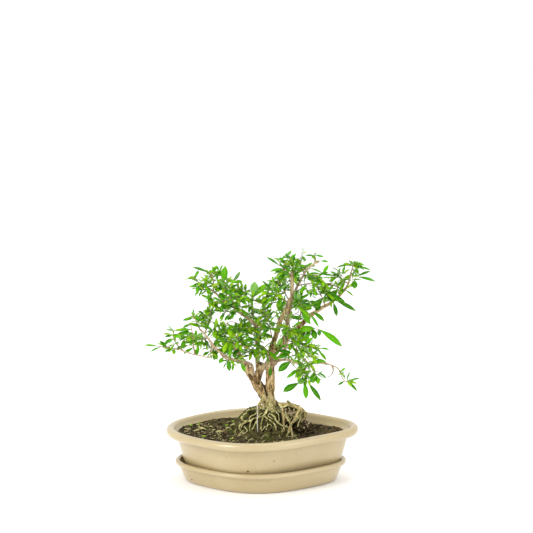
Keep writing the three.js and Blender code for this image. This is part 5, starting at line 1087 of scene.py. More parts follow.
def mossy_share(x, y):
    """How much moss a place of the soil carries: the mound's slopes, in patches"""
    away = math.hypot((x - MOUND["x"]) / MOSSY["half_width"], (y - MOUND["y"]) / MOSSY["half_depth"])
    patch = noise.noise(Vector((x / 9, y / 9, 3)))
    return min(max(1.15 - away + 0.8 * patch, 0), 1)


def make_soil(settings):
    """The soil: it fills the pot, its top is rough, and hollows between the mound's roots are pushed back and
    darkened with painted shade
    """
    axis = -POT_PLAN["reach"]
    reach = POT_PLAN["reach"] - SOIL_INSET
    top = [(axis + reach * k / SOIL_RINGS, SOIL_LEVEL + 100) for k in range(SOIL_RINGS, -1, -1)]
    section = [(axis, POT_FLOOR + GAP), (-29.4, POT_FLOOR + GAP), (-25.8, 15.9), (-21.3, 22.3), (-16.3, 34.3),
               (-13, 42), *top]
    bm = turned_dish(POT_PLAN, section, SOIL_STEPS, POT_FOOT, LIP_HEIGHT, ground=True)
    mossy, dark = toned(bm, ("mossy", "dark"))
    for vert in bm.verts:
        x, y, z = vert.co
        vert[mossy] = mossy_share(x, y)
        if z > SOIL_LEVEL - 3:
            clods = noise.fractal(Vector((x / 5, y / 5, 0)), 0.9, 2.2, 3)
            crumbs = noise.noise(Vector((x / 1.7, y / 1.7, 7)))
            vert.co.z += 0.9 * clods + 0.55 * crumbs
            across, down = pixel_of(vert.co)
            # Near the listed hollows the soil is pushed back and darkened with painted shade
            for middle, level, reach in SOIL_HOLLOWS:
                off = math.hypot(across - middle, (down - level) / 1.4) / reach
                if off < 1 and y < 14:
                    vert[dark] = max(vert[dark], 1 - off ** 2)
                    vert.co += Vector((0, 3, -0.6)) * (1 - off ** 2)
    finished(bm, "soil_mound", soil_finish(settings), ["soil"])


def crumb_finish():
    """Loose crumbs and grit, from black through brown to pale, by each crumb's own tone"""
    finish = Finish("soil_crumbs", 0.9, 0.25)
    tone = finish.attribute("tone")
    base = finish.ramp(tone, (0, colour(30, 25, 15)), (0.35, colour(74, 60, 36)), (0.6, colour(104, 88, 54)),
                       (0.8, colour(96, 92, 66)), (0.92, colour(206, 184, 148)),
                       (0.985, colour(188, 168, 128)), (1, colour(150, 92, 40)))
    base = finish.mixed(finish.band(finish.grain(900, 3, 0.6), 0.45, 0.7), base, colour(34, 27, 18))
    finish.paint(base)
    finish.bumps(finish.grain(1600, 3, 0.6), 0.0003, 1)
    return finish.material


def in_bed(draw):
    """A random place on the soil inside the pot, evenly spread"""
    angle = draw.uniform(0, 2 * math.pi)
    share = math.sqrt(draw.random())
    return in_plan(POT_PLAN, angle, -POT_PLAN["reach"] + (POT_PLAN["reach"] - BED_INSET) * share)


def crumb(radius, mark, moved):
    """A crumb of one tone, with its corners moved"""
    bm = bmesh.new()
    tone, = toned(bm)
    bmesh.ops.create_icosphere(bm, subdivisions=1, radius=radius)
    for vert in bm.verts:
        vert.co = moved(vert.co)
        vert[tone] = mark
    return bm


def make_crumbs(settings):
    """Loose crumbs and grit all over the soil, the heaps of clods and the rust brown chip"""
    draw = random.Random(SEEDS["crumbs"])
    whole = bmesh.new()
    toned(whole)
    for _ in range(settings.crumb_count):
        flat = in_bed(draw)
        size = 0.45 + 1.5 * draw.random() ** 3
        # Crumbs grow darker towards the right: partly darker soil, partly painted shade by the pot's edge
        mark = draw.random() * (1 - 0.3 * smooth_rise(flat.x - 20, 30))
        bm = crumb(size, mark, lambda corner: corner * draw.uniform(0.75, 1.2))
        turn = (Matrix.Rotation(draw.uniform(0, FULL_TURN), 4, "Z")
                @ Matrix.Rotation(draw.uniform(0, FULL_TURN), 4, "X"))
        flatten = Matrix.Diagonal((1, draw.uniform(0.7, 1), draw.uniform(0.5, 0.9), 1))
        rest = soil_height(flat.x, flat.y) + draw.uniform(-0.1, 0.5) * size + 0.3
        place = Matrix.Translation((flat.x, flat.y, rest))
        bmesh.ops.transform(bm, matrix=place @ turn @ flatten, verts=bm.verts)
        add_shape(whole, bm)
    for middle, half, depths, radii, pale, count in CLOD_HEAPS:
        for _ in range(round(count * settings.clod_share)):
            turn = draw.uniform(0, FULL_TURN)
            share = math.sqrt(draw.random())
            across = middle[0] + half[0] * share * math.cos(turn)
            down = middle[1] + half[1] * share * math.sin(turn)
            place = seen((across, down, draw.uniform(*depths)))
            radius = draw.uniform(*radii)
            # Clods that are not pale take the darker tones: partly dark soil, partly painted shade under the
            # arch
            mark = draw.uniform(0.88, 0.96) if draw.random() < pale else 0.06 + draw.random() * 0.5
            add_shape(whole, crumb(radius, mark, lambda corner: corner * draw.uniform(0.7, 1.25) + place))
    rest = on_soil(RUSTY_CHIP, CHIP_REACH)
    add_shape(whole, crumb(1.3, 1, lambda corner: Vector((corner.x * 1.2, corner.y, corner.z * 0.8)) + rest))
    finished(whole, "soil_crumbs", crumb_finish(), smooth=False)


def straw_finish():
    """Dry roots and straw, pale and a little green"""
    finish = Finish("pale_rootlets", 0.75, 0.3)
    fleck = finish.grain(500, 3, 0.6)
    finish.paint(finish.ramp(fleck, (0.33, colour(128, 116, 60)), (0.46, colour(204, 196, 128)),
                             (0.66, colour(230, 222, 168))))
    finish.bumps(fleck, 0.0003, 0.8)
    return finish.material


def make_rootlets():
    """The thin roots over the mound and inside the arch, and scraps of straw on the soil"""
    draw = random.Random(SEEDS["rootlets"])
    # Noise vectors follow the clock unless they have a seed
    noise.seed_set(SEEDS["rootlets"])
    whole = bmesh.new()
    courses = [([on_soil(place) for place in course], radius) for course, radius in ROOTLETS]
    courses += [([seen(place) for place in course], radius) for course, radius in HANGING]
    for _ in range(STRAW_COUNT):
        flat = in_bed(draw)
        turn = draw.uniform(0, FULL_TURN)
        reach = draw.uniform(1.2, 3.4)
        scrap = []
        for share in (-1, 0, 1):
            x = flat.x + reach * share * math.cos(turn) + draw.uniform(-0.4, 0.4)
            y = flat.y + reach * share * math.sin(turn) + draw.uniform(-0.4, 0.4)
            scrap.append(Vector((x, y, soil_height(x, y) + 0.7 + draw.uniform(0, 0.8))))
        thickness = draw.uniform(0.16, 0.34)
        if flat.x < SCRAPS_END:
            courses.append((scrap, thickness))
    for course, radius in courses:
        places = smooth_course(course, 1.1)
        sway = [place + 0.35 * noise.noise_vector(place / 2.2) for place in places]
        add_shape(whole, tube(sway, [radius * draw.uniform(0.8, 1.15) for _ in sway], 7))
    finished(whole, "rootlets", straw_finish())


def moss_finish(settings):
    """Moss: bright green tips over an olive base"""
    finish = Finish("moss", 0.85, 0.2)
    tone = finish.attribute("tone")
    base = finish.ramp(tone, (0, colour(36, 42, 12)), (0.5, settings.moss_colour), (1, colour(126, 136, 58)))
    base = finish.mixed(finish.band(finish.grain(1500, 2, 0.6), 0.5, 0.8), base, colour(70, 78, 30))
    finish.paint(base)
    finish.bumps(finish.grain(2500, 2, 0.5), 0.0002, 0.8)
    return finish.material


def make_moss(settings):
    """Cushions of moss: sprigs of short pointed blades, thickest on the mound's slopes"""
    draw = random.Random(SEEDS["moss"])
    whole = bmesh.new()
    toned(whole)
    planted = 0
    while planted < settings.moss_count:
        flat = in_bed(draw)
        if mossy_share(flat.x, flat.y) < draw.uniform(0.35, 1.0):
            continue
        planted += 1
        height = draw.uniform(0.8, 1.9)
        mark = draw.random()
        bm = bmesh.new()
        tone, = toned(bm)
        for _ in range(5):
            lean = draw.uniform(0.2, 0.9)
            turn = draw.uniform(0, FULL_TURN)
            foot = Vector((draw.uniform(-0.7, 0.7), draw.uniform(-0.7, 0.7), -0.6))
            made = bmesh.ops.create_cone(bm, cap_ends=True, segments=3, radius1=0.32, radius2=0.02,
                                         depth=height)["verts"]
            for vert in made:
                vert[tone] = mark * 0.6 + (0.4 if vert.co.z > 0 else 0)
            place = Matrix.Translation(foot) @ Matrix.Rotation(turn, 4, "Z") @ Matrix.Rotation(lean, 4, "X")
            bmesh.ops.transform(bm, matrix=place @ Matrix.Translation((0, 0, height / 2)), verts=made)
        rest = soil_height(flat.x, flat.y) + 0.5
        bmesh.ops.translate(bm, verts=bm.verts, vec=(flat.x, flat.y, rest))
        add_shape(whole, bm)
    finished(whole, "moss_cushions", moss_finish(settings))


def bark_finish(settings):
    """Tan bark with darker streaks along the limbs, paler on the roots and greener low on the bole, with
    painted shade in its hollows
    """
    finish = Finish("serissa_bark", 0.8, 0.3)
    streaks = finish.grain(300, 3, 0.6, finish.stretched((1, 1, 0.3)))
    flakes = finish.grain(420, 3, 0.7)
    base = finish.ramp(streaks, (0.4, settings.bark_dark), (0.49, settings.bark_colour),
                       (0.62, colour(228, 204, 156)))
    base = finish.mixed(finish.band(flakes, 0.56, 0.64), base, settings.bark_dark)
    pale = finish.ramp(flakes, (0.34, colour(124, 110, 58)), (0.47, colour(206, 192, 126)),
                       (0.62, colour(236, 224, 172)))
    base = finish.mixed(finish.attribute("root"), base, pale)
    young = finish.ramp(flakes, (0.35, colour(140, 112, 84)), (0.55, colour(214, 190, 158)))
    base = finish.mixed(finish.attribute("twig"), base, young)
    patches = finish.band(finish.grain(330, 4, 0.7), 0.45, 0.62)
    base = finish.mixed(finish.maths("MULTIPLY", finish.attribute("low"), patches), base, colour(98, 104, 44))
    # Painted shade darkens the hollows of the wood
    base = finish.mixed(finish.attribute("hollow_shade"), base, colour(40, 28, 16))
    finish.paint(base)
    finish.bumps(streaks, 0.0009, 0.9)
    finish.bumps(flakes, 0.0003, 0.8)
    return finish.material


def back_roots():
    """Four guessed roots behind the bole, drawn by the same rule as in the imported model"""
    state = 41
    courses = []

    def draw(low, high):
        nonlocal state
        state = (state * 1664525 + 1013904223) % 4294967296
        return low + (high - low) * state / 4294967296

    for i in range(BACK_ROOTS["count"]):
        share = i / (BACK_ROOTS["count"] - 1)
        bearing = BACK_ROOTS["from"] + (BACK_ROOTS["to"] - BACK_ROOTS["from"]) * share
        turn = math.radians(bearing + draw(-8, 8))
        reach = BACK_ROOTS["reach"] * draw(0.8, 1.2)
        course = []
        for part in (0.1, 0.4, 0.7, 1):
            bend = turn + part * draw(-0.3, 0.3)
            x = BACK_ROOTS["x"] + part * reach * math.cos(bend)
            y = BACK_ROOTS["y"] + part * reach * math.sin(bend)
            course.append(Vector((x, y, soil_height(x, y) + (-2.5 if part == 1 else 0.5))))
        courses.append(course)
    return courses


def limb_courses():
    """Every limb and root: its kind, its places and its radii"""
    drawn = [("limb", seen, 2.4, *limb) for limb in LIMBS.values()]
    drawn += [("open", seen, 1.8, *root) for root in OPEN_ROOTS.values()]
    drawn += [("root", on_soil, 1.6, *root) for root in MOUND_ROOTS.values()]
    drawn += [("root", Vector, 1.8, course, BACK_ROOTS["radii"]) for course in back_roots()]
    courses = []
    for kind, placed, step, course, radii in drawn:
        places = smooth_course([placed(place) for place in course], step)
        courses.append((kind, places, spread_radii(radii, len(places))))
    return courses


def knotty(place, turn):
    """Swellings and flutes of old wood"""
    return 1 + 0.13 * noise.noise(place / 6) + 0.06 * math.sin(3 * turn + place.z / 9)


def make_trunk(settings):
    """The wood: tubes grown together into one skin, then ridges, flakes, and hollows darkened with painted
    shade
    """
    bm = bmesh.new()
    samples = []
    for kind, places, radii in limb_courses():
        add_shape(bm, tube(places, radii, 20 if max(radii) > 3 else 12, knotty))
        samples += [(place, radius, kind) for place, radius in zip(places, radii)]
    trunk = finished(bm, "trunk_and_roots", bark_finish(settings), ["trunk"])
    blend = trunk.modifiers.new("grown together", "REMESH")
    blend.mode = "VOXEL"
    blend.voxel_size = settings.bark_detail
    blend.use_smooth_shade = True
    even = trunk.modifiers.new("worn", "SMOOTH")
    even.factor = 0.5
    even.iterations = 3
    applied(trunk)
    tree = KDTree(len(samples))
    for i, (place, _, _) in enumerate(samples):
        tree.insert(place, i)
    tree.balance()
    bm = bmesh.new()
    bm.from_mesh(trunk.data)
    root, twig, low, hollow_shade = toned(bm, ("root", "twig", "low", "hollow_shade"))
    bm.normal_update()
    shifts = []
    for vert in bm.verts:
        place = vert.co / MM
        _, index, _ = tree.find(place)
        _, radius, kind = samples[index]
        vert[root] = {"root": 1.0, "open": 0.35}.get(kind, 0.0)
        young = min(max((YOUNG_WOOD["radius"] - radius) / YOUNG_WOOD["fade"], 0), 1)
        vert[twig] = young if kind == "limb" else 0
        vert[low] = min(max((GREEN_BOLE["height"] - place.z) / GREEN_BOLE["fade"], 0), 1)
        ridge = noise.fractal(Vector((place.x / 1.6, place.y / 1.6, place.z / 7)), 0.8, 2.1, 3)
        flake = noise.noise(place / 1.1)
        depth = min(0.5, 0.13 * radius)
        shifts.append(vert.normal * (depth * ridge + 0.3 * depth * flake) * MM)
    for vert, shift in zip(bm.verts, shifts):
        vert.co += shift
    # Front-facing wood near the listed hollows is pushed in and darkened with painted shade
    for vert in bm.verts:
        if vert.normal.y < 0.35 and vert.co.z / MM > HOLLOWS_FOOT:
            across, down = pixel_of(vert.co / MM)
            for *stretch, reach in HOLLOWS:
                off = stretch_distance(stretch, across, down) / reach
                if off < 1:
                    vert[hollow_shade] = max(vert[hollow_shade], 1 - off ** 2)
                    vert.co += Vector((0, 1.2, 0)) * (1 - off ** 2) * MM
    bm.to_mesh(trunk.data)
    bm.free()
    for face in trunk.data.polygons:
        face.use_smooth = True


def leaf_finish(settings):
    """Glossy green leaf: each leaf's own tone, a pale midrib and side veins, and a dull pale underside whose
    bluish tint is partly painted sheen
    """
    finish = Finish("serissa_leaf", 0.36, 0.15)
    uv = finish.nodes.new("ShaderNodeUVMap")
    uv.uv_map = "blade"
    across = finish.node("ShaderNodeSeparateXYZ", Vector=uv.outputs["UV"])
    off = finish.maths("ABSOLUTE", finish.maths("SUBTRACT", across.outputs["X"], 0.5))
    slant = finish.maths("SUBTRACT", across.outputs["Y"], finish.maths("MULTIPLY", off, 0.55))
    veins = finish.maths("ABSOLUTE", finish.maths("SINE", finish.maths("MULTIPLY", slant, 24)))
    tone = finish.attribute("tone")
    base = finish.ramp(tone, (0, settings.leaf_deep), (0.35, settings.leaf_colour),
                       (0.75, settings.leaf_fresh), (0.97, colour(186, 210, 60)), (1, colour(226, 212, 70)))
    mottle = finish.grain(500, 3, 0.6)
    patches = finish.maths("MULTIPLY", finish.band(mottle, 0.35, 0.75), 0.4)
    base = finish.mixed(patches, base, settings.leaf_colour)
    pale_veins = finish.maths("MULTIPLY", finish.band(veins, 0.2, 0.0), 0.3)
    base = finish.mixed(pale_veins, base, colour(140, 196, 60))
    base = finish.mixed(finish.band(off, 0.05, 0.015), base, colour(158, 204, 70))
    edge = finish.maths("MULTIPLY", finish.band(across.outputs["Y"], 0.8, 1.0), 0.35)
    base = finish.mixed(edge, base, colour(170, 196, 60))
    # The pale underside: partly its own paler green, partly a bluish painted sheen
    base = finish.mixed(finish.maths("MULTIPLY", finish.attribute("under"), 0.7), base, colour(154, 198, 118))
    finish.paint(base)
    finish.bumps(finish.band(veins, 0.25, 0.0), 0.00012, 0.7)
    finish.bumps(finish.band(off, 0.06, 0.0), 0.0002, 0.8)
    finish.bumps(mottle, 0.0001, 0.5)
    through = finish.node("ShaderNodeBsdfTranslucent", Color=base)
    both = finish.nodes.new("ShaderNodeMixShader")
    both.inputs["Fac"].default_value = 0.35
    finish.links.new(finish.shader.outputs["BSDF"], both.inputs[1])
    finish.links.new(through.outputs["BSDF"], both.inputs[2])
    out = finish.nodes["Material Output"]
    finish.links.new(both.outputs["Shader"], out.inputs["Surface"])
    return finish.material


def twig_finish(settings):
    """Young twig bark, pinkish brown with pale flecks and green at its tips"""
    finish = Finish("twig_bark", 0.7, 0.3)
    fleck = finish.grain(900, 4, 0.65)
    base = finish.ramp(fleck, (0.35, colour(92, 64, 46)), (0.55, settings.twig_colour),
                       (0.8, colour(196, 172, 138)))
    base = finish.mixed(finish.attribute("green"), base, colour(138, 160, 62))
    finish.paint(base)
    finish.bumps(fleck, 0.0002, 0.8)
    return finish.material


# The leaf's outline, its half width at steps from its foot to its point, and the forms that it takes
LEAF_OUTLINE = [0.10, 0.52, 0.90, 1.0, 0.78, 0.12]
LEAF_FORMS = [
    {"fold": 0.30, "arch": 0.12, "twist": 0.0},
    {"fold": 0.18, "arch": 0.26, "twist": 0.25},
    {"fold": 0.42, "arch": 0.05, "twist": -0.2},
    {"fold": 0.24, "arch": 0.38, "twist": -0.35},
    {"fold": 0.34, "arch": -0.06, "twist": 0.4},
]


def leaf_shape(form):
    """A leaf one long and one wide, lying along Y and facing up: folded, arched and a little twisted"""
    steps = len(LEAF_OUTLINE) - 1
    bm = bmesh.new()
    bmesh.ops.create_grid(bm, x_segments=2, y_segments=steps, size=0.5)
    uv = bm.loops.layers.uv.new("blade")
    for face in bm.faces:
        for loop in face.loops:
            loop[uv].uv = (loop.vert.co.x + 0.5, loop.vert.co.y + 0.5)
    for vert in bm.verts:
        share = vert.co.y + 0.5
        half = LEAF_OUTLINE[round(share * steps)] / 2
        out = 2 * vert.co.x * half
        turn = form["twist"] * (share - 0.4)
        lift = form["fold"] * abs(out) * 0.5
        vert.co = (out * math.cos(turn), share, lift + out * math.sin(turn) * 0.5 - form["arch"] * share ** 2)
    bmesh.ops.solidify(bm, geom=bm.faces[:], thickness=0.03)
    bmesh.ops.recalc_face_normals(bm, faces=bm.faces)
    bm.normal_update()
    under = bm.verts.layers.float.new("under")
    bm.verts.layers.float.new("tone")
    for vert in bm.verts:
        vert[under] = 1.0 if vert.normal.z < 0 else 0.0
    return mesh_of(bm, "leaf")


def near_pixel(place, pixels, reach):
    """Whether the photograph shows a place near one of some pixels"""
    across, down = pixel_of(place)
    return any(math.hypot(across - x, down - y) < reach for x, y in pixels)


def hides(foot, point):
    """Whether a small leaf would fill a gap of sky or hide a bare stretch of wood"""
    for share in (0.25, 0.6, 1):
        place = foot.lerp(point, share)
        across, down = pixel_of(place)
        for x, y, radius in SKY_GAPS:
            if math.hypot(across - x, down - y) < 0.8 * radius:
                return True
        for stretch, depth in zip(BARE_STRETCHES, STRETCH_DEPTHS):
            if place.y < depth and stretch_distance(stretch, across, down) < 1.5:
                return True
    return False


class Foliage:
    """Leaves and twigs of one spray, in millimetres"""

    def __init__(self, forms, draw):
        self.forms = forms
        self.draw = draw
        self.leaves = bmesh.new()
        self.leaves.from_mesh(forms[0])
        bmesh.ops.delete(self.leaves, geom=self.leaves.verts, context="VERTS")
        self.tone = self.leaves.verts.layers.float["tone"]
        self.twigs = bmesh.new()
        toned(self.twigs, ["green"])

    def leaf(self, foot, point, width, facing, tone):
        along = point - foot
        length = along.length
        along.normalize()
        up = (facing - along * facing.dot(along)).normalized()
        across = along.cross(up)
        turned = Matrix((across, along, up)).transposed().to_4x4()
        sized = Matrix.Diagonal((width, length, length * 0.7, 1))
        before = len(self.leaves.verts)
        self.leaves.from_mesh(self.draw.choice(self.forms))
        self.leaves.verts.ensure_lookup_table()
        placed = Matrix.Translation(foot) @ turned @ sized
        for vert in self.leaves.verts[before:]:
            vert.co = placed @ vert.co
            vert[self.tone] = tone

    def twig(self, places, radii, green):
        bm = tube(places, radii, 6)
        own, = toned(bm, ["green"])
        for vert in bm.verts:
            vert[own] = green
        add_shape(self.twigs, bm)

    def leafy_tip(self, places, scale):
        """Crossed pairs of leaves down a shoot, smallest at its tip"""
        draw = self.draw
        length = sum((b - a).length for a, b in zip(places, places[1:]))
        along = (places[-1] - places[0]).normalized()
        side = Vector((0.3, 1, 0.4)).cross(along).normalized()
        turn = draw.uniform(0, math.pi)
        tone = draw.uniform(0.25, 0.85)
        down = 0.0
        for rank, (size, open_to, gap) in enumerate(RANKS):
            if down >= length * 0.85 + 0.5:
                break
            share = 1 - down / max(length, 1e-6)
            spot = min(max(share, 0), 1) * (len(places) - 1)
            k = min(int(spot), len(places) - 2)
            foot = places[k].lerp(places[k + 1], spot - k)
            for hand in (0, math.pi):
                if rank > 2 and draw.random() < 0.25:
                    continue
                for attempt in range(3):
                    sway = draw.uniform(-0.35, 0.35) * (1 + attempt)
                    out = Matrix.Rotation(turn + hand + sway, 3, along) @ side
                    opened = open_to + draw.uniform(-0.2, 0.25)
                    way = along * math.cos(opened) + out * math.sin(opened) + Vector((0, 0, 0.12))
                    way.z *= 0.6
                    long = LEAF_LENGTH * (scale * size) * draw.uniform(0.75, 1.2)
                    point = foot + way.normalized() * long
                    if not hides(foot, point):
                        facing = Vector((draw.uniform(-0.5, 0.5), draw.uniform(-0.9, 0.2), 1)) + out * 0.25
                        shade = 0.4 * tone + draw.uniform(-0.15, 0.7) + (0.1 if rank == 0 else 0)
                        shade = min(max(shade, 0), 0.93)
                        if point.y < 0 and near_pixel(foot.lerp(point, 0.5), YELLOW_LEAVES, 2.2):
                            shade = 1
                        # Some leaves are turned over to show their pale underside, partly painted sheen
                        if noise.noise(point / 1.7) > 0.4:
                            facing = -facing
                        self.leaf(foot, point, long * draw.uniform(0.28, 0.37), facing, shade)
                        break
            turn += math.pi / 2 + draw.uniform(-0.2, 0.2)
            down += gap * scale


def nearest_spot(courses, point, share):
    """The place to leave a twig from: on the nearest one, back along it by a share of the reach"""
    reach, c, k = min(((place - point).length, c, k) for c, course in enumerate(courses)
                      for k, place in enumerate(course))
    course = courses[c]
    back = k
    while back > 0 and (course[back] - course[k]).length < share * reach:
        back -= 1
    return course[back], (course[min(back + 1, len(course) - 1)] - course[max(back - 1, 0)]).normalized()


def make_spray(name, number, forms, finishes, settings):
    """A spray's twigs, its large leaves on their stalks, and the shoots with their small leaves"""
    twigs, shoots, leaves = SPRAYS[name]
    foliage = Foliage(forms, random.Random(SEEDS["sprays"] + number))
    draw = foliage.draw
    courses = [smooth_course([seen(place) for place in twig], 1.8) for twig in twigs]
    for k, course in enumerate(courses):
        thick = THICK_TWIGS.get(name, 0.72) - 0.12 * k
        foliage.twig(course, spread_radii([thick, 0.36], len(course)), 0.1)
    for leaf in leaves:
        foot = seen(leaf[0:3])
        point = seen(leaf[3:6])
        middle = foot.lerp(point, 0.5)
        base, _ = nearest_spot(courses, foot, 0.2)
        if (foot - base).length > 1.2:
            stalk = smooth_course([base, base.lerp(foot, 0.5) + Vector((0, 0, 0.4)), foot], 1.2)
            foliage.twig(stalk, [0.34] * len(stalk), 0.5)
        facing = Vector((draw.uniform(-0.25, 0.25), -1.2, 1))
        shade = draw.uniform(0.05, 0.48)
        if near_pixel(middle, DEEP_LEAVES, 4):
            shade = 0.08
        if near_pixel(middle, OLIVE_LEAVES, 4):
            shade = 0.34
        if near_pixel(middle, PALE_LEAVES, 5):
            facing = -facing
        foliage.leaf(foot, point, leaf[6], facing, shade)
    for tip in [seen(place) for place in shoots]:
        base, way = nearest_spot(courses, tip, 0.45)
        reach = (tip - base).length
        if reach > 0.8:
            bend = base + way * reach * 0.35 + (tip - base) * 0.15
            shoot = smooth_course([base, bend, tip], 1.5)
        else:
            shoot = smooth_course([tip - way * 7, tip], 1.5)
        foliage.twig(shoot, spread_radii([0.4, 0.2], len(shoot)), 0.55)
        foliage.leafy_tip(shoot, settings.leaf_scale * draw.uniform(0.85, 1.12))
    finished(foliage.twigs, "twigs_" + name, finishes["twig"])
    finished(foliage.leaves, "leaves_" + name, finishes["leaf"], ["spray_" + name])


def make_foliage(settings):
    """Every spray and the seedlings, all from the same few forms of leaf"""
    forms = [leaf_shape(form) for form in LEAF_FORMS]
    finishes = {"leaf": leaf_finish(settings), "twig": twig_finish(settings)}
    for number, name in enumerate(SPRAYS):
        make_spray(name, number, forms, finishes, settings)
    make_seedlings(finishes, forms)
    for form in forms:
        bpy.data.meshes.remove(form)


def make_seedlings(finishes, forms):
    """Seedlings in the soil: a short stalk with three small leaves"""
    draw = random.Random(SEEDS["seedlings"])
    foliage = Foliage(forms, draw)
    for across, down in SEEDLINGS:
        foot = on_soil((across, down, 0), SEEDLING_REACH)
        top = foot + Vector((draw.uniform(-0.6, 0.6), -0.6, 2))
        foliage.twig([foot - Vector((0, 0, 1.5)), foot.lerp(top, 0.5), top], [0.25, 0.22, 0.2], 1)
        for k in range(3):
            turn = 2.1 * k + draw.uniform(0, 1)
            point = top + Vector((math.cos(turn), math.sin(turn), 0.4)) * draw.uniform(1.5, 2.6)
            foliage.leaf(top, point, draw.uniform(1.2, 1.8), Vector((0, -0.5, 1)), draw.uniform(0.6, 0.9))
    finished(foliage.twigs, "seedling_stalks", finishes["twig"])
    finished(foliage.leaves, "seedling_leaves", finishes["leaf"])


def wire_finish():
    """Bare aluminium wire, drawn along its length and a little dull"""
    finish = Finish("tie_wire_metal", 0.35)
    streak = finish.grain(600, 3, 0.6, finish.stretched((1, 1, 0.1)))
    finish.paint(finish.ramp(streak, (0.3, colour(196, 194, 186)), (0.7, colour(236, 234, 228))))
    finish.shader.inputs["Metallic"].default_value = 0.3
    finish.bumps(streak, 0.0001, 0.6)
    return finish.material


def screen_finish():
    """Black plastic mesh, dusted with soil"""
    finish = Finish("screen_plastic", 0.6)
    dust = finish.grain(300, 4, 0.6)
    finish.paint(finish.ramp(dust, (0.4, colour(34, 36, 36)), (0.75, colour(92, 76, 56))))
    finish.bumps(dust, 0.0002, 0.7)
    return finish.material


def make_wire():
    """The tie wire, hooked over the root loop, a little bent, with its cut end in the soil"""
    places = smooth_course([seen(place) for place in WIRE_COURSE], 0.8)
    bm = tube(places, [WIRE_RADIUS] * len(places), 10)
    finished(bm, "tie_wire_bent", wire_finish(), ["tie_wire"])


def dress_screens():
    """The screens keep their own shapes and get their finish"""
    material = screen_finish()
    for name in ("drain_screen_left", "drain_screen_right"):
        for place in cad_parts[name].material_slots:
            place.material = material


def soft_light(name, place, size, power):
    """A round soft light that shines at the tree"""
    light = bpy.data.lights.new(name, "AREA")
    light.shape = "DISK"
    light.size = size
    light.energy = power
    lamp = in_scene(name, light)
    lamp.location = place
    lamp.rotation_euler = (Vector(LIGHT_AIM) - Vector(place)).to_track_quat("-Z", "Y").to_euler()


def floor_finish(settings):
    """A dull pale floor"""
    finish = Finish("pale_floor", 0.9, 0.1)
    finish.paint(finish.ramp(finish.grain(4, 2, 0.5), (0, settings.floor_colour), (1, colour(253, 253, 253))))
    return finish.material


def make_stage(settings):
    """The floor, the white room and the soft lights"""
    bm = bmesh.new()
    bmesh.ops.create_grid(bm, x_segments=8, y_segments=8, size=FLOOR_SIZE / 2)
    floor = in_scene("floor", mesh_of(bm, "floor"))
    floor.data.materials.append(floor_finish(settings))
    world = bpy.data.worlds.new("studio")
    world.use_nodes = True
    room = world.node_tree.nodes["Background"].inputs
    room["Color"].default_value = (1, 1, 1, 1)
    room["Strength"].default_value = settings.room_light
    bpy.context.scene.world = world
    bpy.context.scene.view_settings.view_transform = "Standard"
    for name, (place, size, share) in LIGHTS.items():
        soft_light(name, place, size, settings.key_light * share)


def make_camera():
    """The camera, where the photograph was taken from"""
    aim = Vector(((EYE["middle"] - EYE["pole"]) * EYE["pixel"] * MM, 0, SIGHT_HEIGHT * MM))
    look = Vector((0, math.cos(EYE["pitch"]), -math.sin(EYE["pitch"])))
    eye = bpy.data.cameras.new("camera")
    eye.sensor_width = FILM
    eye.lens = FILM * EYE["distance"] / (PHOTO_SIZE * EYE["pixel"])
    camera = in_scene("camera", eye)
    camera.location = aim - look * (EYE["distance"] * MM)
    camera.rotation_euler = look.to_track_quat("-Z", "Y").to_euler()
    bpy.context.scene.camera = camera


class PotSettings(bpy.types.PropertyGroup):
    """Sizes and colours of the pot and its saucer"""

    glaze_colour: bpy.props.FloatVectorProperty(
        name="Glaze", description="The glaze where it is thick", subtype="COLOR", size=4, min=0, max=1,
        default=colour(186, 169, 130))
    glaze_shade: bpy.props.FloatVectorProperty(
        name="Glaze shade", description="The glaze where it is thin", subtype="COLOR", size=4, min=0, max=1,
        default=colour(176, 157, 115))
    glaze_roughness: bpy.props.FloatProperty(
        name="Glaze roughness", description="How dull the glaze is", subtype="FACTOR", min=0, max=1,
        default=0.32)


class SoilSettings(bpy.types.PropertyGroup):
    """Amounts and colours of the soil and its moss"""

    soil_colour: bpy.props.FloatVectorProperty(
        name="Soil", description="Lit crumbs of soil", subtype="COLOR", size=4, min=0, max=1,
        default=colour(100, 86, 54))
    # Partly dark soil, partly painted shade between the crumbs
    dark_soil_and_painted_shade: bpy.props.FloatVectorProperty(
        name="Soil shade", description="Soil between the crumbs", subtype="COLOR", size=4, min=0, max=1,
        default=colour(30, 25, 13))
    moss_colour: bpy.props.FloatVectorProperty(
        name="Moss", description="The moss on the mound", subtype="COLOR", size=4, min=0, max=1,
        default=colour(92, 102, 40))
    crumb_count: bpy.props.IntProperty(
        name="Crumbs", description="Loose crumbs and grit on the soil", min=0, max=4000, default=1900)
    clod_share: bpy.props.FloatProperty(
        name="Clods", description="Share of the clods heaped by the arched root", subtype="FACTOR",
        min=0, max=2, default=1)
    moss_count: bpy.props.IntProperty(
        name="Moss sprigs", description="Sprigs of moss on the mound", min=0, max=2000, default=620)


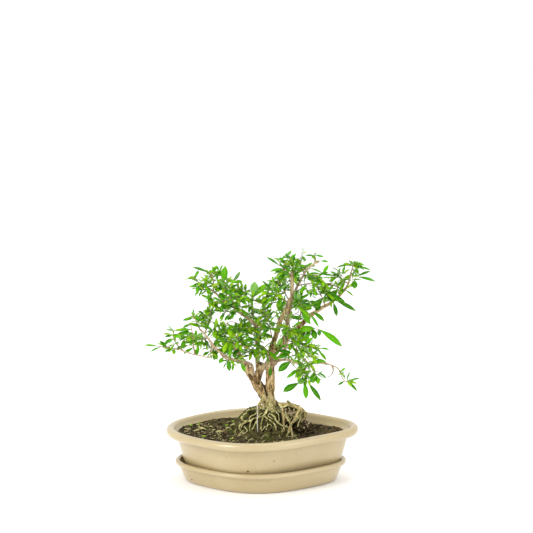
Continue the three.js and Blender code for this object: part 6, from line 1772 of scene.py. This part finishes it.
class TreeSettings(bpy.types.PropertyGroup):
    """Sizes and colours of the tree"""

    bark_detail: bpy.props.FloatProperty(
        name="Bark detail", description="The finest step of the grown wood", subtype="DISTANCE",
        unit="LENGTH", min=0.0004, max=0.003, default=0.0006)
    bark_colour: bpy.props.FloatVectorProperty(
        name="Bark", description="The bark of the bole and limbs", subtype="COLOR", size=4, min=0, max=1,
        default=colour(181, 148, 96))
    bark_dark: bpy.props.FloatVectorProperty(
        name="Bark shade", description="The bark's dark streaks", subtype="COLOR", size=4, min=0, max=1,
        default=colour(93, 71, 40))
    twig_colour: bpy.props.FloatVectorProperty(
        name="Twig", description="The bark of the young twigs", subtype="COLOR", size=4, min=0, max=1,
        default=colour(176, 144, 112))
    leaf_scale: bpy.props.FloatProperty(
        name="Leaf size", description="The size of the small leaves against the usual", subtype="FACTOR",
        min=0.5, max=1.5, default=1.0)
    leaf_colour: bpy.props.FloatVectorProperty(
        name="Leaf", description="The usual green of the leaves", subtype="COLOR", size=4, min=0, max=1,
        default=colour(104, 194, 0))
    leaf_deep: bpy.props.FloatVectorProperty(
        name="Old leaf", description="The green of the old leaves", subtype="COLOR", size=4, min=0, max=1,
        default=colour(18, 112, 0))
    leaf_fresh: bpy.props.FloatVectorProperty(
        name="Young leaf", description="The green of the young leaves", subtype="COLOR", size=4, min=0, max=1,
        default=colour(188, 236, 20))


class StageSettings(bpy.types.PropertyGroup):
    """The floor and the light"""

    floor_colour: bpy.props.FloatVectorProperty(
        name="Floor", description="The pale floor", subtype="COLOR", size=4, min=0, max=1,
        default=colour(250, 250, 250))
    key_light: bpy.props.FloatProperty(
        name="Key light", description="Power of the main soft light", unit="POWER", min=0, max=500,
        default=19)
    room_light: bpy.props.FloatProperty(
        name="Room light", description="Brightness of the white room", min=0, max=5, default=1.03)


class BONSAI_OT_camera(bpy.types.Operator):
    """Sets up the camera at the photograph's viewing angle"""

    bl_idname = "bonsai.camera"
    bl_label = "Camera"

    def execute(self, context):
        make_camera()
        return {"FINISHED"}


class BONSAI_OT_saucer(bpy.types.Operator):
    """Makes the drip saucer"""

    bl_idname = "bonsai.saucer"
    bl_label = "Saucer"

    def execute(self, context):
        make_saucer(context.scene.bonsai_pot)
        return {"FINISHED"}


class BONSAI_OT_pot(bpy.types.Operator):
    """Makes the glazed pot with its drains and feet"""

    bl_idname = "bonsai.pot"
    bl_label = "Pot"

    def execute(self, context):
        make_pot(context.scene.bonsai_pot)
        return {"FINISHED"}


class BONSAI_OT_soil(bpy.types.Operator):
    """Makes the soil mound with its crumbs, grit and moss"""

    bl_idname = "bonsai.soil"
    bl_label = "Soil"

    def execute(self, context):
        settings = context.scene.bonsai_soil
        make_soil(settings)
        make_crumbs(settings)
        make_moss(settings)
        make_rootlets()
        return {"FINISHED"}


class BONSAI_OT_trunk(bpy.types.Operator):
    """Makes the bole, its limbs and the open roots"""

    bl_idname = "bonsai.trunk"
    bl_label = "Trunk and roots"

    def execute(self, context):
        make_trunk(context.scene.bonsai_tree)
        return {"FINISHED"}


class BONSAI_OT_foliage(bpy.types.Operator):
    """Makes the twigs and leaves of each spray"""

    bl_idname = "bonsai.foliage"
    bl_label = "Foliage"

    def execute(self, context):
        make_foliage(context.scene.bonsai_tree)
        return {"FINISHED"}


class BONSAI_OT_fixed(bpy.types.Operator):
    """Finishes the tie wire and the drain screens"""

    bl_idname = "bonsai.fixed"
    bl_label = "Wire and screens"

    def execute(self, context):
        make_wire()
        dress_screens()
        return {"FINISHED"}


class BONSAI_OT_stage(bpy.types.Operator):
    """Sets up the pale floor and the soft light"""

    bl_idname = "bonsai.stage"
    bl_label = "Stage"

    def execute(self, context):
        make_stage(context.scene.bonsai_stage)
        return {"FINISHED"}


STEPS = (
    BONSAI_OT_camera, BONSAI_OT_saucer, BONSAI_OT_pot, BONSAI_OT_soil, BONSAI_OT_trunk, BONSAI_OT_foliage,
    BONSAI_OT_fixed, BONSAI_OT_stage,
)
GROUPS = {
    "bonsai_pot": PotSettings, "bonsai_soil": SoilSettings, "bonsai_tree": TreeSettings,
    "bonsai_stage": StageSettings,
}


class BONSAI_PT_panel(bpy.types.Panel):
    """Lists the bonsai's pieces and their settings"""

    bl_idname = "BONSAI_PT_panel"
    bl_label = "Serissa Bonsai"
    bl_space_type = "VIEW_3D"
    bl_region_type = "UI"
    bl_category = "Bonsai"

    def draw(self, context):
        for step in STEPS:
            self.layout.operator(step.bl_idname)
        for name, group in GROUPS.items():
            box = self.layout.box()
            for prop in group.__annotations__:
                box.prop(getattr(context.scene, name), prop)


def register():
    for group in GROUPS.values():
        bpy.utils.register_class(group)
    for name, group in GROUPS.items():
        setattr(bpy.types.Scene, name, bpy.props.PointerProperty(type=group))
    for step in STEPS:
        bpy.utils.register_class(step)
    bpy.utils.register_class(BONSAI_PT_panel)


def unregister():
    bpy.utils.unregister_class(BONSAI_PT_panel)
    for step in reversed(STEPS):
        bpy.utils.unregister_class(step)
    for name, group in GROUPS.items():
        delattr(bpy.types.Scene, name)
        bpy.utils.unregister_class(group)


def main():
    register()
    bpy.ops.bonsai.camera()
    bpy.ops.bonsai.saucer()
    bpy.ops.bonsai.pot()
    bpy.ops.bonsai.soil()
    bpy.ops.bonsai.trunk()
    bpy.ops.bonsai.foliage()
    bpy.ops.bonsai.fixed()
    bpy.ops.bonsai.stage()


if __name__ == "__main__":
    main()
